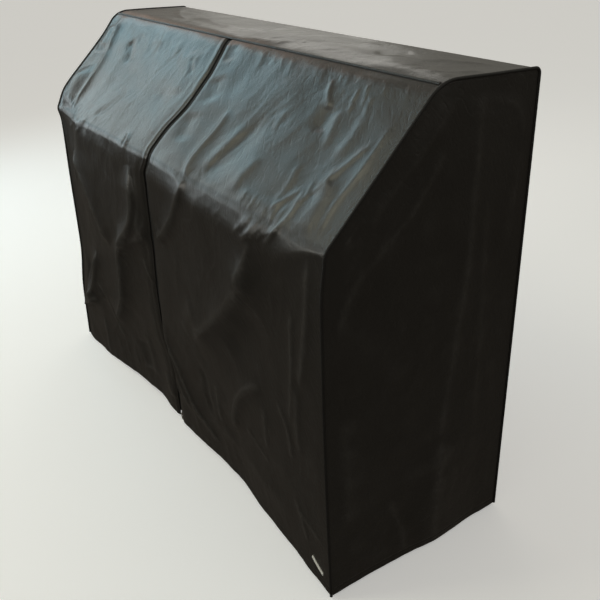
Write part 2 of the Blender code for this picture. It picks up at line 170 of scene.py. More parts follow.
frontHemDown = crestSeam - spare
backHemDown = crestSeam - pathLengths[-1] + spare
kneeStart, kneeEnd = downAt("knee", 1), downAt("knee", 0)
crestFront, crestBack = downAt("crest", 0), downAt("crest", 1)
backStart, backEnd = downAt("back edge", 0), downAt("back edge", 1)
backSeam = (backStart + backEnd) / 2
topMiddle = (crestBack + backStart) / 2


def profilePoint(down):      # (y, z) on the end profile
    distance = crestSeam - np.asarray(down, float)
    return np.stack([np.interp(distance, pathLengths, pathPoints[:, side]) for side in (0, 1)], -1)


def profileNormal(down):      # outward, eased round the bends
    run = profilePoint(down - cover["normalReach"]) - profilePoint(down + cover["normalReach"])
    return unit(np.stack([-run[..., 1], run[..., 0]], -1))


originY = (profilePoint(0.0)[0] + cover["depth"]) / 2
originZ = cover["height"] - cover["backDrop"] - cover["clothInCad"] / 2 - cover["lidClearance"]


def placed(x, point):
    return np.stack(np.broadcast_arrays(x, point[..., 0] - originY, point[..., 1] - originZ), -1)


def raised(x, down, rise):      # a point of the cloth, "rise" above its plain profile
    return placed(x, profilePoint(down) + profileNormal(down) * rise[..., None])


def seamX(side, down):
    rows = leftSeam if side < 0 else rightSeam
    return side * (cover["width"] / 2 - flowing(rows, "along", "down", np.clip(down, 0.0, frontHemDown)))


def seamIn(side, down):
    rows = leftSeam if side < 0 else rightSeam
    fade = smooth((down - crestBack) / (crestFront - crestBack))
    return flowing(rows, "inward", "down", np.clip(down, 0.0, frontHemDown)) * fade


def seamPoint(side, down):      # the seam round an end panel
    down = np.asarray(down, float)
    corner = side * cover["width"] / 2
    backFade = np.where(down < 0, 1 - smooth(down / topMiddle), 1.0)
    point = profilePoint(down) - profileNormal(down) * seamIn(side, down)[..., None]
    return placed(corner + (seamX(side, down) - corner) * backFade, point)


def insideSeam(side, down):      # an end panel's edge, tucked in from its seam
    reach = 0.004
    run = seamPoint(side, down - reach) - seamPoint(side, down + reach)
    inward = np.stack([np.zeros_like(run[..., 0]), run[..., 2], -run[..., 1]], -1)
    return seamPoint(side, down) + cover["tuck"] * unit(inward)


def zipX(down):
    return flowing(zipLine, "x", "down", down)


# folds, in the cloth's own sizes

# "left" and "right" are the flanks' widths, "edge" the roundness of a crisp crest, and "ease" the share of
# the fold's length over which an end fades in. A row may leave out the last ones.
foldColumns = "name left right height path edge ease"
gatherColumns = "name start end count run width height seed"


def curveThrough(path, steps=7):      # a rounded line through a fold's points
    points = np.array([path[0], *path, path[-1]], float)
    line = []
    for a, b, c, d in zip(points, points[1:], points[2:], points[3:]):
        for t in np.linspace(0, 1, steps, endpoint=False):
            line.append(b + 0.5 * t * (c - a + t * (2 * a - 5 * b + 4 * c - d + t * (3 * b - a - 3 * c + d))))
    return np.array([*line, points[-1]])


def foldRise(fold, u, v):      # one fold over the cloth's own places: a ridge, or a trough below 0
    line = curveThrough(fold["path"])
    widest = 3.2 * max(fold["left"], fold["right"])
    low, high = line.min(0) - widest, line.max(0) + widest
    near = (u > low[0]) & (u < high[0]) & (v > low[1]) & (v < high[1])
    rise = np.zeros_like(u)
    if not near.any():
        return rise
    place = np.stack([u[near], v[near]], -1)
    spans = np.linalg.norm(np.diff(line, axis=0), axis=1)
    total, passed = spans.sum(), 0.0
    best = np.full(len(place), 9.0)
    width, along = np.ones(len(place)), np.zeros(len(place))
    for start, end, span in zip(line, line[1:], spans):
        run = end - start
        share = np.clip((place - start) @ run / (span * span), 0.0, 1.0)
        offset = place - start - share[:, None] * run
        distance = np.hypot(offset[:, 0], offset[:, 1])
        closer = distance < best
        best = np.where(closer, distance, best)
        toRight = run[0] * offset[:, 1] - run[1] * offset[:, 0] > 0
        width = np.where(closer, np.where(toRight, fold["right"], fold["left"]), width)
        along = np.where(closer, (passed + share * span) / total, along)
        passed += span
    if fold.get("edge"):      # a crisp crest, rounded over "edge", with straight flanks
        shape = np.exp(-(np.sqrt(best ** 2 + fold["edge"] ** 2) - fold["edge"]) / (0.75 * width))
    else:
        shape = np.exp(-(best / width) ** 2)
    ease = fold.get("ease", 0.25)
    taper = smooth(along / ease + 0.2) * smooth((1 - along) / ease + 0.2)
    rise[near] = fold["height"] * taper * shape
    return rise


def allFolds(folds, u, v):
    return sum(foldRise(fold, u, v) for fold in folds)


def gatherRows(groups):      # each group of small gathers, drawn up as single folds
    rows = []
    for group in groups:
        spin = np.random.default_rng(group["seed"])
        for step in range(group["count"]):
            t = (step + 0.5 + 0.35 * spin.uniform(-1, 1)) / group["count"]
            head = np.array(group["start"]) * (1 - t) + np.array(group["end"]) * t
            run = np.array(group["run"]) * spin.uniform(0.6, 1.25)
            bow = np.array((-run[1], run[0])) * spin.uniform(-0.16, 0.16)
            width = group["width"] * spin.uniform(0.7, 1.3)
            rows.append({
                "path": [head, head + run / 2 + bow, head + run],
                "left": width, "right": width * spin.uniform(0.8, 1.6), "edge": group["width"] * 0.3,
                "height": group["height"] * spin.uniform(0.5, 1.2), "ease": 0.45,
            })
    return rows


def uneven(u, v, size, seed):      # smooth unevenness, about -1 to 1; size is one length or two
    sizeU, sizeV = size if isinstance(size, tuple) else (size, size)
    places = zip((u / sizeU).ravel(), (v / sizeV).ravel())
    return np.array([noise.noise((a, b, seed)) for a, b in places]).reshape(np.shape(u))


def softWaves(u, v, seed):      # the cloth is nowhere flat: slack waves, then shallow creases on the bias
    waves = 0.0038 * uneven(u, v, 0.17, seed) + 0.0014 * uneven(u, v, 0.06, seed + 1)
    lean, cross = u + 0.55 * v, v - 0.55 * u
    lean = lean + 0.02 * uneven(u, v, 0.08, seed + 2)
    creases = (1 - np.abs(uneven(lean, cross, (0.035, 0.11), seed + 3))) ** 6
    patches = smooth(0.5 + 1.5 * uneven(u, v, 0.22, seed + 4))
    return waves + 0.0006 * creases * patches


def seamPucker(distance, along, seed):      # short puckers where the seam's thread draws the cloth up
    depth = np.exp(-np.maximum(distance, 0) / 0.010)
    return depth * 0.0007 * uneven(along, distance * 0.3, 0.008, seed)


# the front

frontFolds = table(foldColumns, [
    # the slope, left of the zip
    ("raised left end, high", 0.055, 0.03, 0.012,
     [(-0.705, 0.045), (-0.685, 0.1), (-0.675, 0.15)], 0.0, 0.35),
    ("raised left end, low", 0.06, 0.035, 0.015,
     [(-0.695, 0.215), (-0.674, 0.27), (-0.664, 0.355)], 0.0, 0.35),
    ("line beside it", 0.022, 0.011, 0.005,
     [(-0.69, 0.0), (-0.64, 0.07), (-0.605, 0.14), (-0.59, 0.2), (-0.588, 0.335)], 0.002, 0.2),
    ("sag of the slope, left", 0.11, 0.11, -0.0045, [(-0.5, 0.2), (-0.08, 0.19)], 0.0, 0.2),
    ("sag of the slope, right", 0.11, 0.11, -0.0035, [(0.1, 0.21), (0.66, 0.2)], 0.0, 0.2),
    ("swell by the zip", 0.06, 0.045, 0.0035, [(-0.12, 0.06), (-0.1, 0.2)]),
    ("rise at the left seam", 0.02, 0.02, 0.004, [(-0.735, 0.22), (-0.725, 0.3)]),
    ("dent", 0.014, 0.02, -0.0036, [(-0.505, 0.08), (-0.473, 0.11), (-0.445, 0.15)]),
    ("small dent", 0.01, 0.01, -0.001, [(-0.54, 0.055), (-0.53, 0.08)]),
    ("small dent", 0.01, 0.01, -0.0014, [(-0.462, 0.055), (-0.458, 0.085)]),
    ("small crease", 0.008, 0.011, -0.0016, [(-0.1, 0.075), (-0.085, 0.105), (-0.055, 0.125)]),
    ("bowed crease", 0.008, 0.018, -0.0022,
     [(-0.342, 0.22), (-0.345, 0.26), (-0.368, 0.3), (-0.415, 0.338)]),
    ("wrinkle on the knee", 0.005, 0.006, -0.0026, [(-0.168, 0.335), (-0.158, 0.355), (-0.16, 0.375)]),
    ("wrinkle beside it", 0.006, 0.006, 0.002, [(-0.172, 0.335), (-0.148, 0.35), (-0.138, 0.38)]),
    # the slope, right of the zip
    ("ridge to the knee", 0.018, 0.01, 0.005,
     [(0.2, 0.18), (0.202, 0.23), (0.19, 0.29), (0.192, 0.335), (0.212, 0.372)], 0.003, 0.2),
    ("trough", 0.04, 0.022, -0.0046, [(0.345, 0.16), (0.31, 0.26), (0.268, 0.345)], 0.0, 0.35),
    ("lip beside the trough", 0.009, 0.02, 0.002, [(0.3, 0.21), (0.268, 0.28), (0.258, 0.335)]),
    ("wrinkle", 0.008, 0.006, 0.0026, [(0.474, 0.045), (0.492, 0.08), (0.52, 0.108)], 0.0015),
    ("wrinkle", 0.006, 0.005, 0.0022, [(0.571, 0.05), (0.572, 0.08), (0.582, 0.105)], 0.001),
    ("wrinkle", 0.006, 0.005, 0.0022, [(0.589, 0.035), (0.596, 0.06), (0.607, 0.085)], 0.001),
    ("wrinkle", 0.008, 0.007, 0.0014, [(0.618, 0.06), (0.622, 0.085), (0.634, 0.105)]),
    ("hollow", 0.026, 0.024, -0.0042, [(0.522, 0.1), (0.527, 0.165)], 0.0, 0.35),
    ("streak", 0.014, 0.012, 0.0022, [(0.555, 0.105), (0.563, 0.14), (0.58, 0.19)], 0.0, 0.3),
    ("streak", 0.016, 0.014, 0.0022, [(0.622, 0.1), (0.636, 0.14), (0.625, 0.2)], 0.0, 0.3),
    ("star", 0.007, 0.008, 0.003, [(0.6, 0.278), (0.578, 0.305), (0.548, 0.345)], 0.0015, 0.3),
    ("star", 0.009, 0.007, 0.0036,
     [(0.602, 0.275), (0.613, 0.315), (0.612, 0.35), (0.598, 0.385), (0.565, 0.412)], 0.0015),
    ("star", 0.008, 0.008, 0.003,
     [(0.618, 0.298), (0.645, 0.252), (0.668, 0.205), (0.7, 0.145)], 0.0015, 0.3),
    ("star", 0.006, 0.006, 0.0018, [(0.645, 0.218), (0.65, 0.243), (0.662, 0.262)], 0.001),
    ("star", 0.006, 0.006, 0.0018, [(0.611, 0.258), (0.62, 0.283), (0.62, 0.312)], 0.001),
    ("hollow beside the star", 0.014, 0.014, -0.002, [(0.636, 0.255), (0.634, 0.29)]),
    ("panel by the right knee", 0.022, 0.03, 0.0038, [(0.662, 0.24), (0.668, 0.3), (0.676, 0.36)]),
    ("long line by the right seam", 0.012, 0.01, 0.0024,
     [(0.715, 0.09), (0.716, 0.2), (0.706, 0.28), (0.716, 0.35)], 0.0015),
    ("thin fold", 0.009, 0.009, 0.0014, [(0.54, 0.23), (0.553, 0.29), (0.545, 0.335)], 0.0, 0.3),
    ("thin fold", 0.009, 0.012, 0.0014, [(0.405, 0.14), (0.395, 0.17), (0.405, 0.19)], 0.0, 0.3),
    ("soft fold", 0.014, 0.022, 0.002, [(0.418, 0.25), (0.403, 0.31), (0.408, 0.35)], 0.0, 0.3),
    ("hollow right of the zip, high", 0.03, 0.026, -0.003, [(0.045, 0.02), (0.066, 0.07)], 0.0, 0.35),
    ("hollow right of the zip, middle", 0.032, 0.034, -0.003, [(0.07, 0.11), (0.105, 0.18)], 0.0, 0.35),
    ("hollow right of the zip, low", 0.036, 0.034, -0.0032, [(0.07, 0.215), (0.095, 0.3)], 0.0, 0.35),
    # below the knee, left of the zip
    ("long ridge", 0.03, 0.085, 0.018,
     [(-0.118, 0.415), (-0.102, 0.5), (-0.13, 0.595), (-0.253, 0.705),
      (-0.272, 0.78), (-0.308, 0.88), (-0.365, 0.96), (-0.43, 1.03)], 0.004, 0.12),
    ("valley beside it", 0.022, 0.01, -0.01,
     [(-0.104, 0.42), (-0.096, 0.51), (-0.118, 0.59), (-0.2, 0.665)]),
    ("second line", 0.016, 0.007, 0.004, [(-0.088, 0.43), (-0.084, 0.52), (-0.106, 0.6)], 0.002),
    ("ridge across the zip, left", 0.05, 0.02, 0.01,
     [(-0.235, 0.69), (-0.19, 0.655), (-0.12, 0.62), (-0.055, 0.585)]),
    ("short ridge below the knee", 0.09, 0.026, 0.0145,
     [(-0.6, 0.475), (-0.512, 0.545), (-0.435, 0.63), (-0.355, 0.725)], 0.004, 0.2),
    ("crease up the left edge", 0.015, 0.012, 0.0035,
     [(-0.615, 0.47), (-0.64, 0.53), (-0.655, 0.6)], 0.003),
    ("fold over at the left foot", 0.1, 0.01, 0.014,
     [(-0.785, 1.085), (-0.72, 1.068), (-0.66, 1.046), (-0.58, 0.995)], 0.002, 0.2),
    ("upper edge of that fold", 0.024, 0.045, 0.0135,
     [(-0.522, 0.8), (-0.545, 0.87), (-0.59, 0.95), (-0.655, 1.03)], 0.003),
    ("crease into the fold", 0.008, 0.012, -0.004, [(-0.64, 0.87), (-0.655, 0.93), (-0.685, 1.03)]),
    ("crease above the hem", 0.026, 0.018, 0.007,
     [(-0.555, 0.92), (-0.495, 0.965), (-0.45, 1.02), (-0.405, 1.09)], 0.003, 0.2),
    ("short upright fold", 0.014, 0.01, 0.004, [(-0.56, 1.06), (-0.555, 1.13), (-0.565, 1.2)], 0.003),
    ("small fold", 0.01, 0.008, 0.003, [(-0.262, 0.71), (-0.24, 0.73), (-0.225, 0.75)], 0.002),
    ("small wrinkle", 0.008, 0.01, 0.003, [(-0.115, 0.68), (-0.095, 0.725), (-0.06, 0.76)], 0.002),
    ("small wrinkle", 0.007, 0.007, 0.0024, [(-0.075, 0.74), (-0.068, 0.79), (-0.075, 0.84)], 0.002),
    ("hollow above the hem", 0.035, 0.03, -0.005, [(-0.28, 1.04), (-0.26, 1.14)]),
    ("fold to the hem", 0.02, 0.03, 0.005, [(-0.22, 0.99), (-0.215, 1.07), (-0.225, 1.15)]),
    ("rise by the foot of the zip", 0.03, 0.02, 0.006, [(-0.11, 1.07), (-0.09, 1.16)]),
    # below the knee, right of the zip
    ("ridge across the zip, right", 0.016, 0.045, 0.009,
     [(0.212, 0.372), (0.194, 0.415), (0.138, 0.485), (0.078, 0.54), (0.015, 0.585)], 0.002, 0.1),
    ("head of the broad diagonal", 0.022, 0.05, 0.006,
     [(0.52, 0.422), (0.492, 0.485), (0.465, 0.555)], 0.003),
    ("broad diagonal", 0.045, 0.08, 0.015,
     [(0.515, 0.45), (0.47, 0.54), (0.4, 0.615), (0.285, 0.715), (0.165, 0.82)], 0.012, 0.22),
    ("branch of the diagonal", 0.03, 0.03, 0.005, [(0.2, 0.7), (0.145, 0.76), (0.115, 0.82)]),
    ("second diagonal", 0.022, 0.032, 0.008,
     [(0.5, 0.785), (0.435, 0.83), (0.385, 0.885), (0.345, 0.955), (0.315, 1.03)], 0.004, 0.22),
    ("upright line by the seam", 0.018, 0.022, 0.0055,
     [(0.716, 0.39), (0.71, 0.48), (0.696, 0.58), (0.668, 0.7)], 0.003, 0.2),
    ("second upright line", 0.016, 0.018, 0.005,
     [(0.65, 0.52), (0.646, 0.62), (0.636, 0.72), (0.62, 0.82)], 0.002, 0.2),
    ("third upright line", 0.014, 0.016, 0.0035, [(0.658, 0.7), (0.65, 0.8), (0.655, 0.88)]),
    ("bent line", 0.012, 0.01, 0.0045, [(0.568, 0.79), (0.6, 0.825), (0.616, 0.87), (0.616, 0.92)], 0.002),
    ("dark line", 0.012, 0.016, -0.005, [(0.165, 0.905), (0.175, 0.95), (0.172, 1.0), (0.192, 1.06)]),
    ("fold beside it", 0.016, 0.01, 0.004, [(0.245, 0.92), (0.238, 0.98), (0.24, 1.05)], 0.002),
    ("fan", 0.012, 0.02, 0.008,
     [(-0.045, 0.86), (-0.025, 0.945), (0.02, 1.01), (0.06, 1.075), (0.12, 1.13)], 0.002, 0.22),
    ("fan", 0.01, 0.014, 0.007, [(-0.05, 0.94), (-0.022, 1.005), (0.0, 1.06), (0.045, 1.12)], 0.002, 0.22),
    ("fan", 0.009, 0.011, 0.0058, [(-0.045, 0.99), (-0.03, 1.05), (-0.01, 1.11)], 0.002, 0.22),
    ("low fan", 0.01, 0.014, 0.0045, [(0.075, 1.09), (0.135, 1.125), (0.2, 1.155)], 0.002),
    ("band above the hem", 0.03, 0.03, 0.0035, [(0.15, 1.075), (0.33, 1.09), (0.48, 1.1), (0.62, 1.115)]),
    ("line to the label", 0.011, 0.013, 0.004, [(0.625, 1.03), (0.65, 1.075), (0.665, 1.13)], 0.002),
    ("faint crease", 0.008, 0.012, 0.0026, [(0.395, 0.97), (0.445, 0.99), (0.505, 1.01)], 0.002),
    ("faint crease", 0.01, 0.01, 0.0026, [(0.63, 1.05), (0.69, 1.07), (0.745, 1.078)], 0.002),
    ("faint upright", 0.012, 0.012, 0.0024, [(0.508, 0.84), (0.5, 0.9), (0.5, 0.97)]),
    ("hollow under the diagonal", 0.06, 0.05, -0.007, [(0.52, 0.6), (0.36, 0.76)], 0.0, 0.35),
])
# The cloth goes over the edge of the keyboard's shelf: it leans out from the knee to a crease at "end",
# then falls away over "fall".
kneeBand = table("x end height fall", [
    (-0.76, 0.392, 0.0, 0.06), (-0.64, 0.4, 0.003, 0.06), (-0.5, 0.408, 0.006, 0.1),
    (-0.33, 0.412, 0.005, 0.14), (-0.18, 0.418, 0.004, 0.16), (-0.04, 0.412, 0.004, 0.12),
    (0.05, 0.412, 0.008, 0.13), (0.3, 0.414, 0.012, 0.13), (0.5, 0.418, 0.014, 0.11),
    (0.6, 0.414, 0.012, 0.08), (0.66, 0.398, 0.009, 0.05), (0.72, 0.378, 0.003, 0.03),
    (0.76, 0.372, 0.0, 0.03),
])
frontGathers = table(gatherColumns, [
    ("above the left knee", (-0.6, 0.315), (-0.43, 0.33), 8, (-0.012, 0.045), 0.008, 0.0022, 11),
    ("on the left knee", (-0.54, 0.365), (-0.42, 0.36), 8, (-0.06, 0.04), 0.007, 0.0024, 12),
    ("at the left end", (-0.7, 0.3), (-0.61, 0.31), 6, (0.012, 0.04), 0.008, 0.002, 13),
    ("above the right knee", (0.44, 0.325), (0.6, 0.32), 9, (0.004, 0.045), 0.008, 0.0022, 14),
    ("on the right knee", (0.49, 0.375), (0.62, 0.362), 8, (-0.045, 0.045), 0.0065, 0.0034, 15),
    ("top of the slope", (0.1, 0.015), (0.7, 0.015), 15, (0.018, 0.045), 0.009, 0.001, 16),
    ("over the left slope", (-0.45, 0.02), (-0.08, 0.05), 16, (0.02, 0.07), 0.01, 0.0009, 17),
    ("foot of the left front", (-0.5, 1.11), (-0.12, 1.08), 7, (0.01, 0.06), 0.014, 0.0016, 18),
    ("foot of the right front", (0.04, 1.1), (0.66, 1.11), 12, (0.01, 0.07), 0.014, 0.0014, 19),
    ("below the right knee", (0.08, 0.56), (0.3, 0.6), 7, (-0.01, 0.16), 0.02, 0.0016, 20),
])
frontPanel = {
    "columns": 158,            # faces across a panel, beyond those packed at its edges
    "edgeColumns": [0.0, 0.0008, 0.0016, 0.0026, 0.0038, 0.0052, 0.0066, 0.0080, 0.0105, 0.014],
    "hemDepth": 0.018,         # from the hem's edge up to its line of stitches
    "lipWidth": 0.0075, "lipRise": 0.0009, "zipStitch": 0.0052,
}


rowZones = {      # where a grid's rows change their spacing
    "seam": 0.030, "knee": 0.330, "front": 0.450,
    "hem": 0.030,              # this far from a hem's edge
}


def spread(start, end, step):
    return np.linspace(start, end, max(2, int(round(abs(end - start) / step)) + 1))


def joinedRows(*runs):
    rows = [runs[0]]
    for run in runs[1:]:
        rows.append(run[1:])
    return np.concatenate(rows)


def hemRows(hem, sign=1):      # close together round the hem's stitches, ending at its edge
    inward = np.array([rowZones["hem"], 0.026, 0.0225, 0.0205, 0.0193, 0.0186, 0.0180, 0.0174, 0.0167,
                       0.0155, 0.0125, 0.0085, 0.0045, 0.0018, 0.0006, 0.0])
    return hem - sign * inward


def hemRow(down):      # the row of a grid that carries the hem's stitches
    hem = down[-1, 0]
    return int(np.argmin(np.abs(np.abs(down[:, 0] - hem) - frontPanel["hemDepth"])))


def hemShape(fromHem, along, seed):      # the stitches draw a turned hem in, and its edge ripples
    fromStitches = fromHem - frontPanel["hemDepth"]
    groove = 0.0007 * bell(fromStitches, 0.0016)
    pull = 0.0005 * bell(fromStitches, 0.006) * uneven(along, 0 * along, 0.011, seed)
    ripple = 0.0026 * uneven(along, 0 * along, 0.075, seed + 1)
    ripple = ripple + 0.0012 * uneven(along, 0 * along, 0.03, seed + 2)
    return pull - groove + ripple * np.exp(-np.maximum(fromHem, 0) / 0.05)


frontRelief = {
    "broad": 0.030,            # a fold wider than this is a broad one
    "hangStart": 0.42, "hangEase": 0.10, "broadDeeper": 0.45, "fineSofter": 0.15,
    "pullReach": 0.24,         # how far into the front a seam's pull is felt
    "crestEase": 0.03, "calmNearZip": 0.4, "calmReach": 0.03,
    "valleyLeft": 0.032, "valleyRight": 0.020, "valleyDepth": 0.004, "valleyDeeper": 0.009,
    "stripePitch": 0.011, "stripeHeight": 0.0009, "stripeAt": 0.016,
    "lipAt": 0.021, "lipSpread": 0.008, "lipHeight": 0.0028, "lipRightShare": 0.45,
}


def isBroad(fold):
    return max(fold["left"], fold["right"]) > frontRelief["broad"]


frontFoldRows = frontFolds + gatherRows(frontGathers)
broadFolds = [fold for fold in frontFoldRows if isBroad(fold)]
fineFolds = [fold for fold in frontFoldRows if not isBroad(fold)]


def kneeRise(x, down):
    end, height, fall = (flowing(kneeBand, column, "x", x) for column in ("end", "height", "fall"))
    start = (kneeStart + kneeEnd) / 2
    lean = np.clip((down - start) / (end - start), 0.0, 1.0)
    past = np.maximum(down - end, 0.0)
    rounding = 0.07 * bell(down - end, 0.007)
    return height * (lean * np.exp(-(past / fall) ** 1.3) - rounding)


def swayShare(down):      # the lower front swings in, most at the hem
    return smooth((down - cover["swayStart"]) / (frontHemDown - cover["swayStart"]))


def frontHeight(x, down):      # the rise of the front cloth above its plain profile
    r = frontRelief
    toLeft, toRight = x - seamX(-1, down), seamX(1, down) - x
    fade = smooth(np.minimum(toLeft, toRight) / cover["edgeFade"]) * smooth(down / r["crestEase"])
    pulls = (-seamIn(-1, down) * (1 - smooth(toLeft / r["pullReach"]))
             - seamIn(1, down) * (1 - smooth(toRight / r["pullReach"])))
    sway = flowing(frontHem, "inward", "x", x) * swayShare(down)
    fromZip, leftOfZip = np.abs(x - zipX(down)), x < zipX(down)
    # the lower front hangs free, so its broad folds are deeper
    hanging = smooth((down - r["hangStart"]) / r["hangEase"])
    folds = allFolds(broadFolds, x, down) * (1 + r["broadDeeper"] * hanging)
    folds = folds + allFolds(fineFolds, x, down) * (1 - r["fineSofter"] * hanging) + softWaves(x, down, 3.0)
    valley = r["valleyDepth"] + r["valleyDeeper"] * smooth((down - 0.36) / 0.1)
    valley = valley * bell(fromZip, np.where(leftOfZip, r["valleyLeft"], r["valleyRight"]))
    stripes = r["stripeHeight"] * np.cos(fromZip * 2 * math.pi / r["stripePitch"])
    stripes = stripes * bell(fromZip - r["stripeAt"], r["stripeAt"]) * leftOfZip
    stripes = stripes * smooth((down - 0.16) / 0.06) * (1 - smooth((down - 0.42) / 0.06))
    calm = smooth(fromZip / r["calmReach"]) * (1 - r["calmNearZip"]) + r["calmNearZip"]
    lips = r["lipHeight"] * bell(fromZip - r["lipAt"], r["lipSpread"])
    lips = lips * np.where(leftOfZip, 1.0, r["lipRightShare"])
    return folds * fade * calm + kneeRise(x, down) + pulls - sway - valley + stripes + lips


def frontPoint(x, down, lift=0.0):
    x, down = np.broadcast_arrays(np.asarray(x, float), np.asarray(down, float))
    up = flowing(frontHem, "up", "x", x) * swayShare(down)
    height = frontHeight(x, down) + lift
    return placed(x, profilePoint(down - up) + profileNormal(down) * height[..., None])


def frontRowsDown():
    return joinedRows(
        spread(cover["tuck"], rowZones["seam"], 0.0030), spread(rowZones["seam"], rowZones["knee"], 0.0046),
        spread(rowZones["knee"], rowZones["front"], 0.0034),
        spread(rowZones["front"], frontHemDown - rowZones["hem"], 0.0050), hemRows(frontHemDown),
    )


def gradedShares(width, count):      # shares across a panel, packed at its edges
    edge = np.array(frontPanel["edgeColumns"]) / width
    middle = np.linspace(edge[-1], 1 - edge[-1], count + 1)[1:-1]
    return np.concatenate([edge, middle, (1 - edge)[::-1]])


def frontSurface(side):      # one front panel: places, the cloth's own coordinates, and how hemmed it is
    shares = gradedShares(cover["width"] / 2, frontPanel["columns"])
    down, share = np.meshgrid(frontRowsDown(), shares, indexing="ij")
    byZip = zipX(down) + side * cover["zipGap"] / 2
    bySeam = seamX(side, down) - side * cover["tuck"]
    left, right = (bySeam, byZip) if side < 0 else (byZip, bySeam)
    x = left + (right - left) * share
    fromZip, fromSeam = np.abs(x - byZip), np.abs(x - bySeam)
    lip = frontPanel["lipRise"] * (1 - smooth((fromZip - frontPanel["lipWidth"]) / 0.002))
    groove = 0.0006 * bell(fromZip - frontPanel["zipStitch"], 0.0009)
    pucker = seamPucker(fromSeam, down, 30.0 + side) + seamPucker(down, x, 32.0 + side)
    pucker = pucker + 0.5 * seamPucker(np.abs(fromZip - 0.006), down * 1.3, 34.0 + side)
    hem = hemShape(frontHemDown - down, x, 36.0 + side)
    lift = cover["cloth"] / 2 + lip - groove + pucker + hem
    hemmed = np.maximum(frontHemDown - down < frontPanel["hemDepth"], fromZip < frontPanel["lipWidth"])
    columns = len(shares)
    stitchColumn = frontPanel["edgeColumns"].index(frontPanel["zipStitch"])
    return {
        "points": frontPoint(x, down, lift), "places": np.stack([x, down], -1), "hemmed": hemmed,
        "hemRow": hemRow(down), "zipColumn": columns - 1 - stitchColumn if side < 0 else stitchColumn,
    }


# top, back and ends

topFolds = table(foldColumns, [
    ("ridge left", 0.03, 0.02, 0.003, [(-0.68, -0.19), (-0.6, -0.15), (-0.5, -0.1), (-0.4, -0.08)], 0.003),
    ("long ridge", 0.03, 0.025, 0.003, [(-0.42, -0.14), (-0.25, -0.1), (-0.05, -0.08)]),
    ("ridge right", 0.04, 0.03, 0.0035, [(0.05, -0.05), (0.25, -0.075), (0.62, -0.07)]),
    ("short ridge", 0.012, 0.012, 0.003, [(0.12, -0.035), (0.14, -0.065), (0.165, -0.09)], 0.002),
    ("short ridge", 0.01, 0.012, 0.0025, [(0.2, -0.095), (0.215, -0.075), (0.24, -0.06)], 0.002),
    ("slanting ridge", 0.018, 0.018, 0.003, [(0.24, -0.1), (0.29, -0.13), (0.345, -0.2)], 0.003),
    ("slanting ridge", 0.02, 0.02, 0.003,
     [(0.48, -0.05), (0.56, -0.11), (0.62, -0.16), (0.7, -0.2)], 0.003),
    ("hollow", 0.03, 0.03, -0.003, [(0.43, -0.11), (0.48, -0.18)]),
    ("hollow", 0.03, 0.02, -0.0025, [(-0.09, -0.09), (-0.02, -0.12)]),
    ("crease", 0.012, 0.012, 0.002, [(-0.05, -0.09), (-0.06, -0.14), (-0.04, -0.19)], 0.002),
    ("crease", 0.014, 0.012, 0.002, [(0.06, -0.04), (0.075, -0.1), (0.07, -0.17)], 0.002),
    ("crease by the right corner", 0.014, 0.014, 0.0025,
     [(0.66, -0.035), (0.7, -0.06), (0.735, -0.13)], 0.002),
])
topGathers = table(gatherColumns, [
    ("along the crest", (0.12, -0.03), (0.72, -0.03), 14, (0.035, -0.035), 0.01, 0.0016, 31),
    ("middle", (-0.15, -0.05), (0.15, -0.12), 9, (-0.02, -0.06), 0.01, 0.0014, 32),
    ("left", (-0.66, -0.03), (-0.2, -0.04), 9, (-0.05, -0.04), 0.014, 0.0012, 33),
])
endFolds = table(foldColumns, [
    ("pressed upright crease", 0.05, 0.06, 0.004,
     [(0.37, 0.03), (0.362, 0.25), (0.36, 0.4), (0.34, 0.55), (0.31, 0.8), (0.295, 1.1)], 0.0015, 0.06),
    ("pressed slanting crease", 0.05, 0.05, 0.0035,
     [(0.285, 0.12), (0.2, 0.23), (0.07, 0.345), (0.015, 0.46)], 0.0015, 0.15),
    ("second slanting crease", 0.02, 0.02, 0.0016, [(0.3, 0.045), (0.2, 0.14), (0.09, 0.24)], 0.002),
    ("faint upright", 0.03, 0.03, 0.0016, [(0.4, 0.2), (0.41, 0.5), (0.42, 0.92)], 0.002),
    ("curve by the back corner", 0.024, 0.018, 0.0016,
     [(0.38, 0.05), (0.46, 0.07), (0.495, 0.13), (0.49, 0.22), (0.475, 0.3)], 0.001),
    ("dent by the slope", 0.008, 0.006, 0.0026, [(0.045, 0.255), (0.055, 0.235), (0.07, 0.218)]),
    ("billow at the hem", 0.1, 0.09, 0.011, [(0.3, 0.8), (0.31, 1.0), (0.315, 1.16)]),
    ("slack behind the front edge", 0.05, 0.05, 0.003, [(0.05, 0.62), (0.06, 0.95)]),
    ("crease to the hem", 0.02, 0.02, 0.0022, [(0.16, 0.9), (0.2, 1.02), (0.215, 1.1)], 0.003),
])
backFolds = table(foldColumns, [
    ("soft upright fold left", 0.1, 0.12, 0.006, [(-0.3, 0.1), (-0.32, 0.6), (-0.34, 1.1)]),
    ("soft upright fold right", 0.12, 0.1, 0.007, [(0.34, 0.2), (0.33, 0.6), (0.3, 1.1)]),
    ("pressed crease", 0.05, 0.05, 0.003, [(0.02, 0.02), (0.015, 0.5), (0.02, 1.09)], 0.002, 0.05),
    ("pressed crease across", 0.04, 0.04, 0.0024, [(-0.74, 0.53), (0.0, 0.54), (0.74, 0.53)], 0.002, 0.04),
    ("drag from the left corner", 0.03, 0.05, 0.004, [(-0.72, 0.03), (-0.6, 0.15), (-0.5, 0.32)]),
    ("drag from the right corner", 0.05, 0.03, 0.004, [(0.72, 0.03), (0.62, 0.14), (0.55, 0.3)]),
    ("slack fold", 0.04, 0.06, 0.005, [(-0.6, 0.7), (-0.45, 0.82), (-0.36, 1.02)]),
    ("slack fold", 0.05, 0.04, 0.005, [(0.62, 0.66), (0.52, 0.8), (0.48, 1.0)]),
])
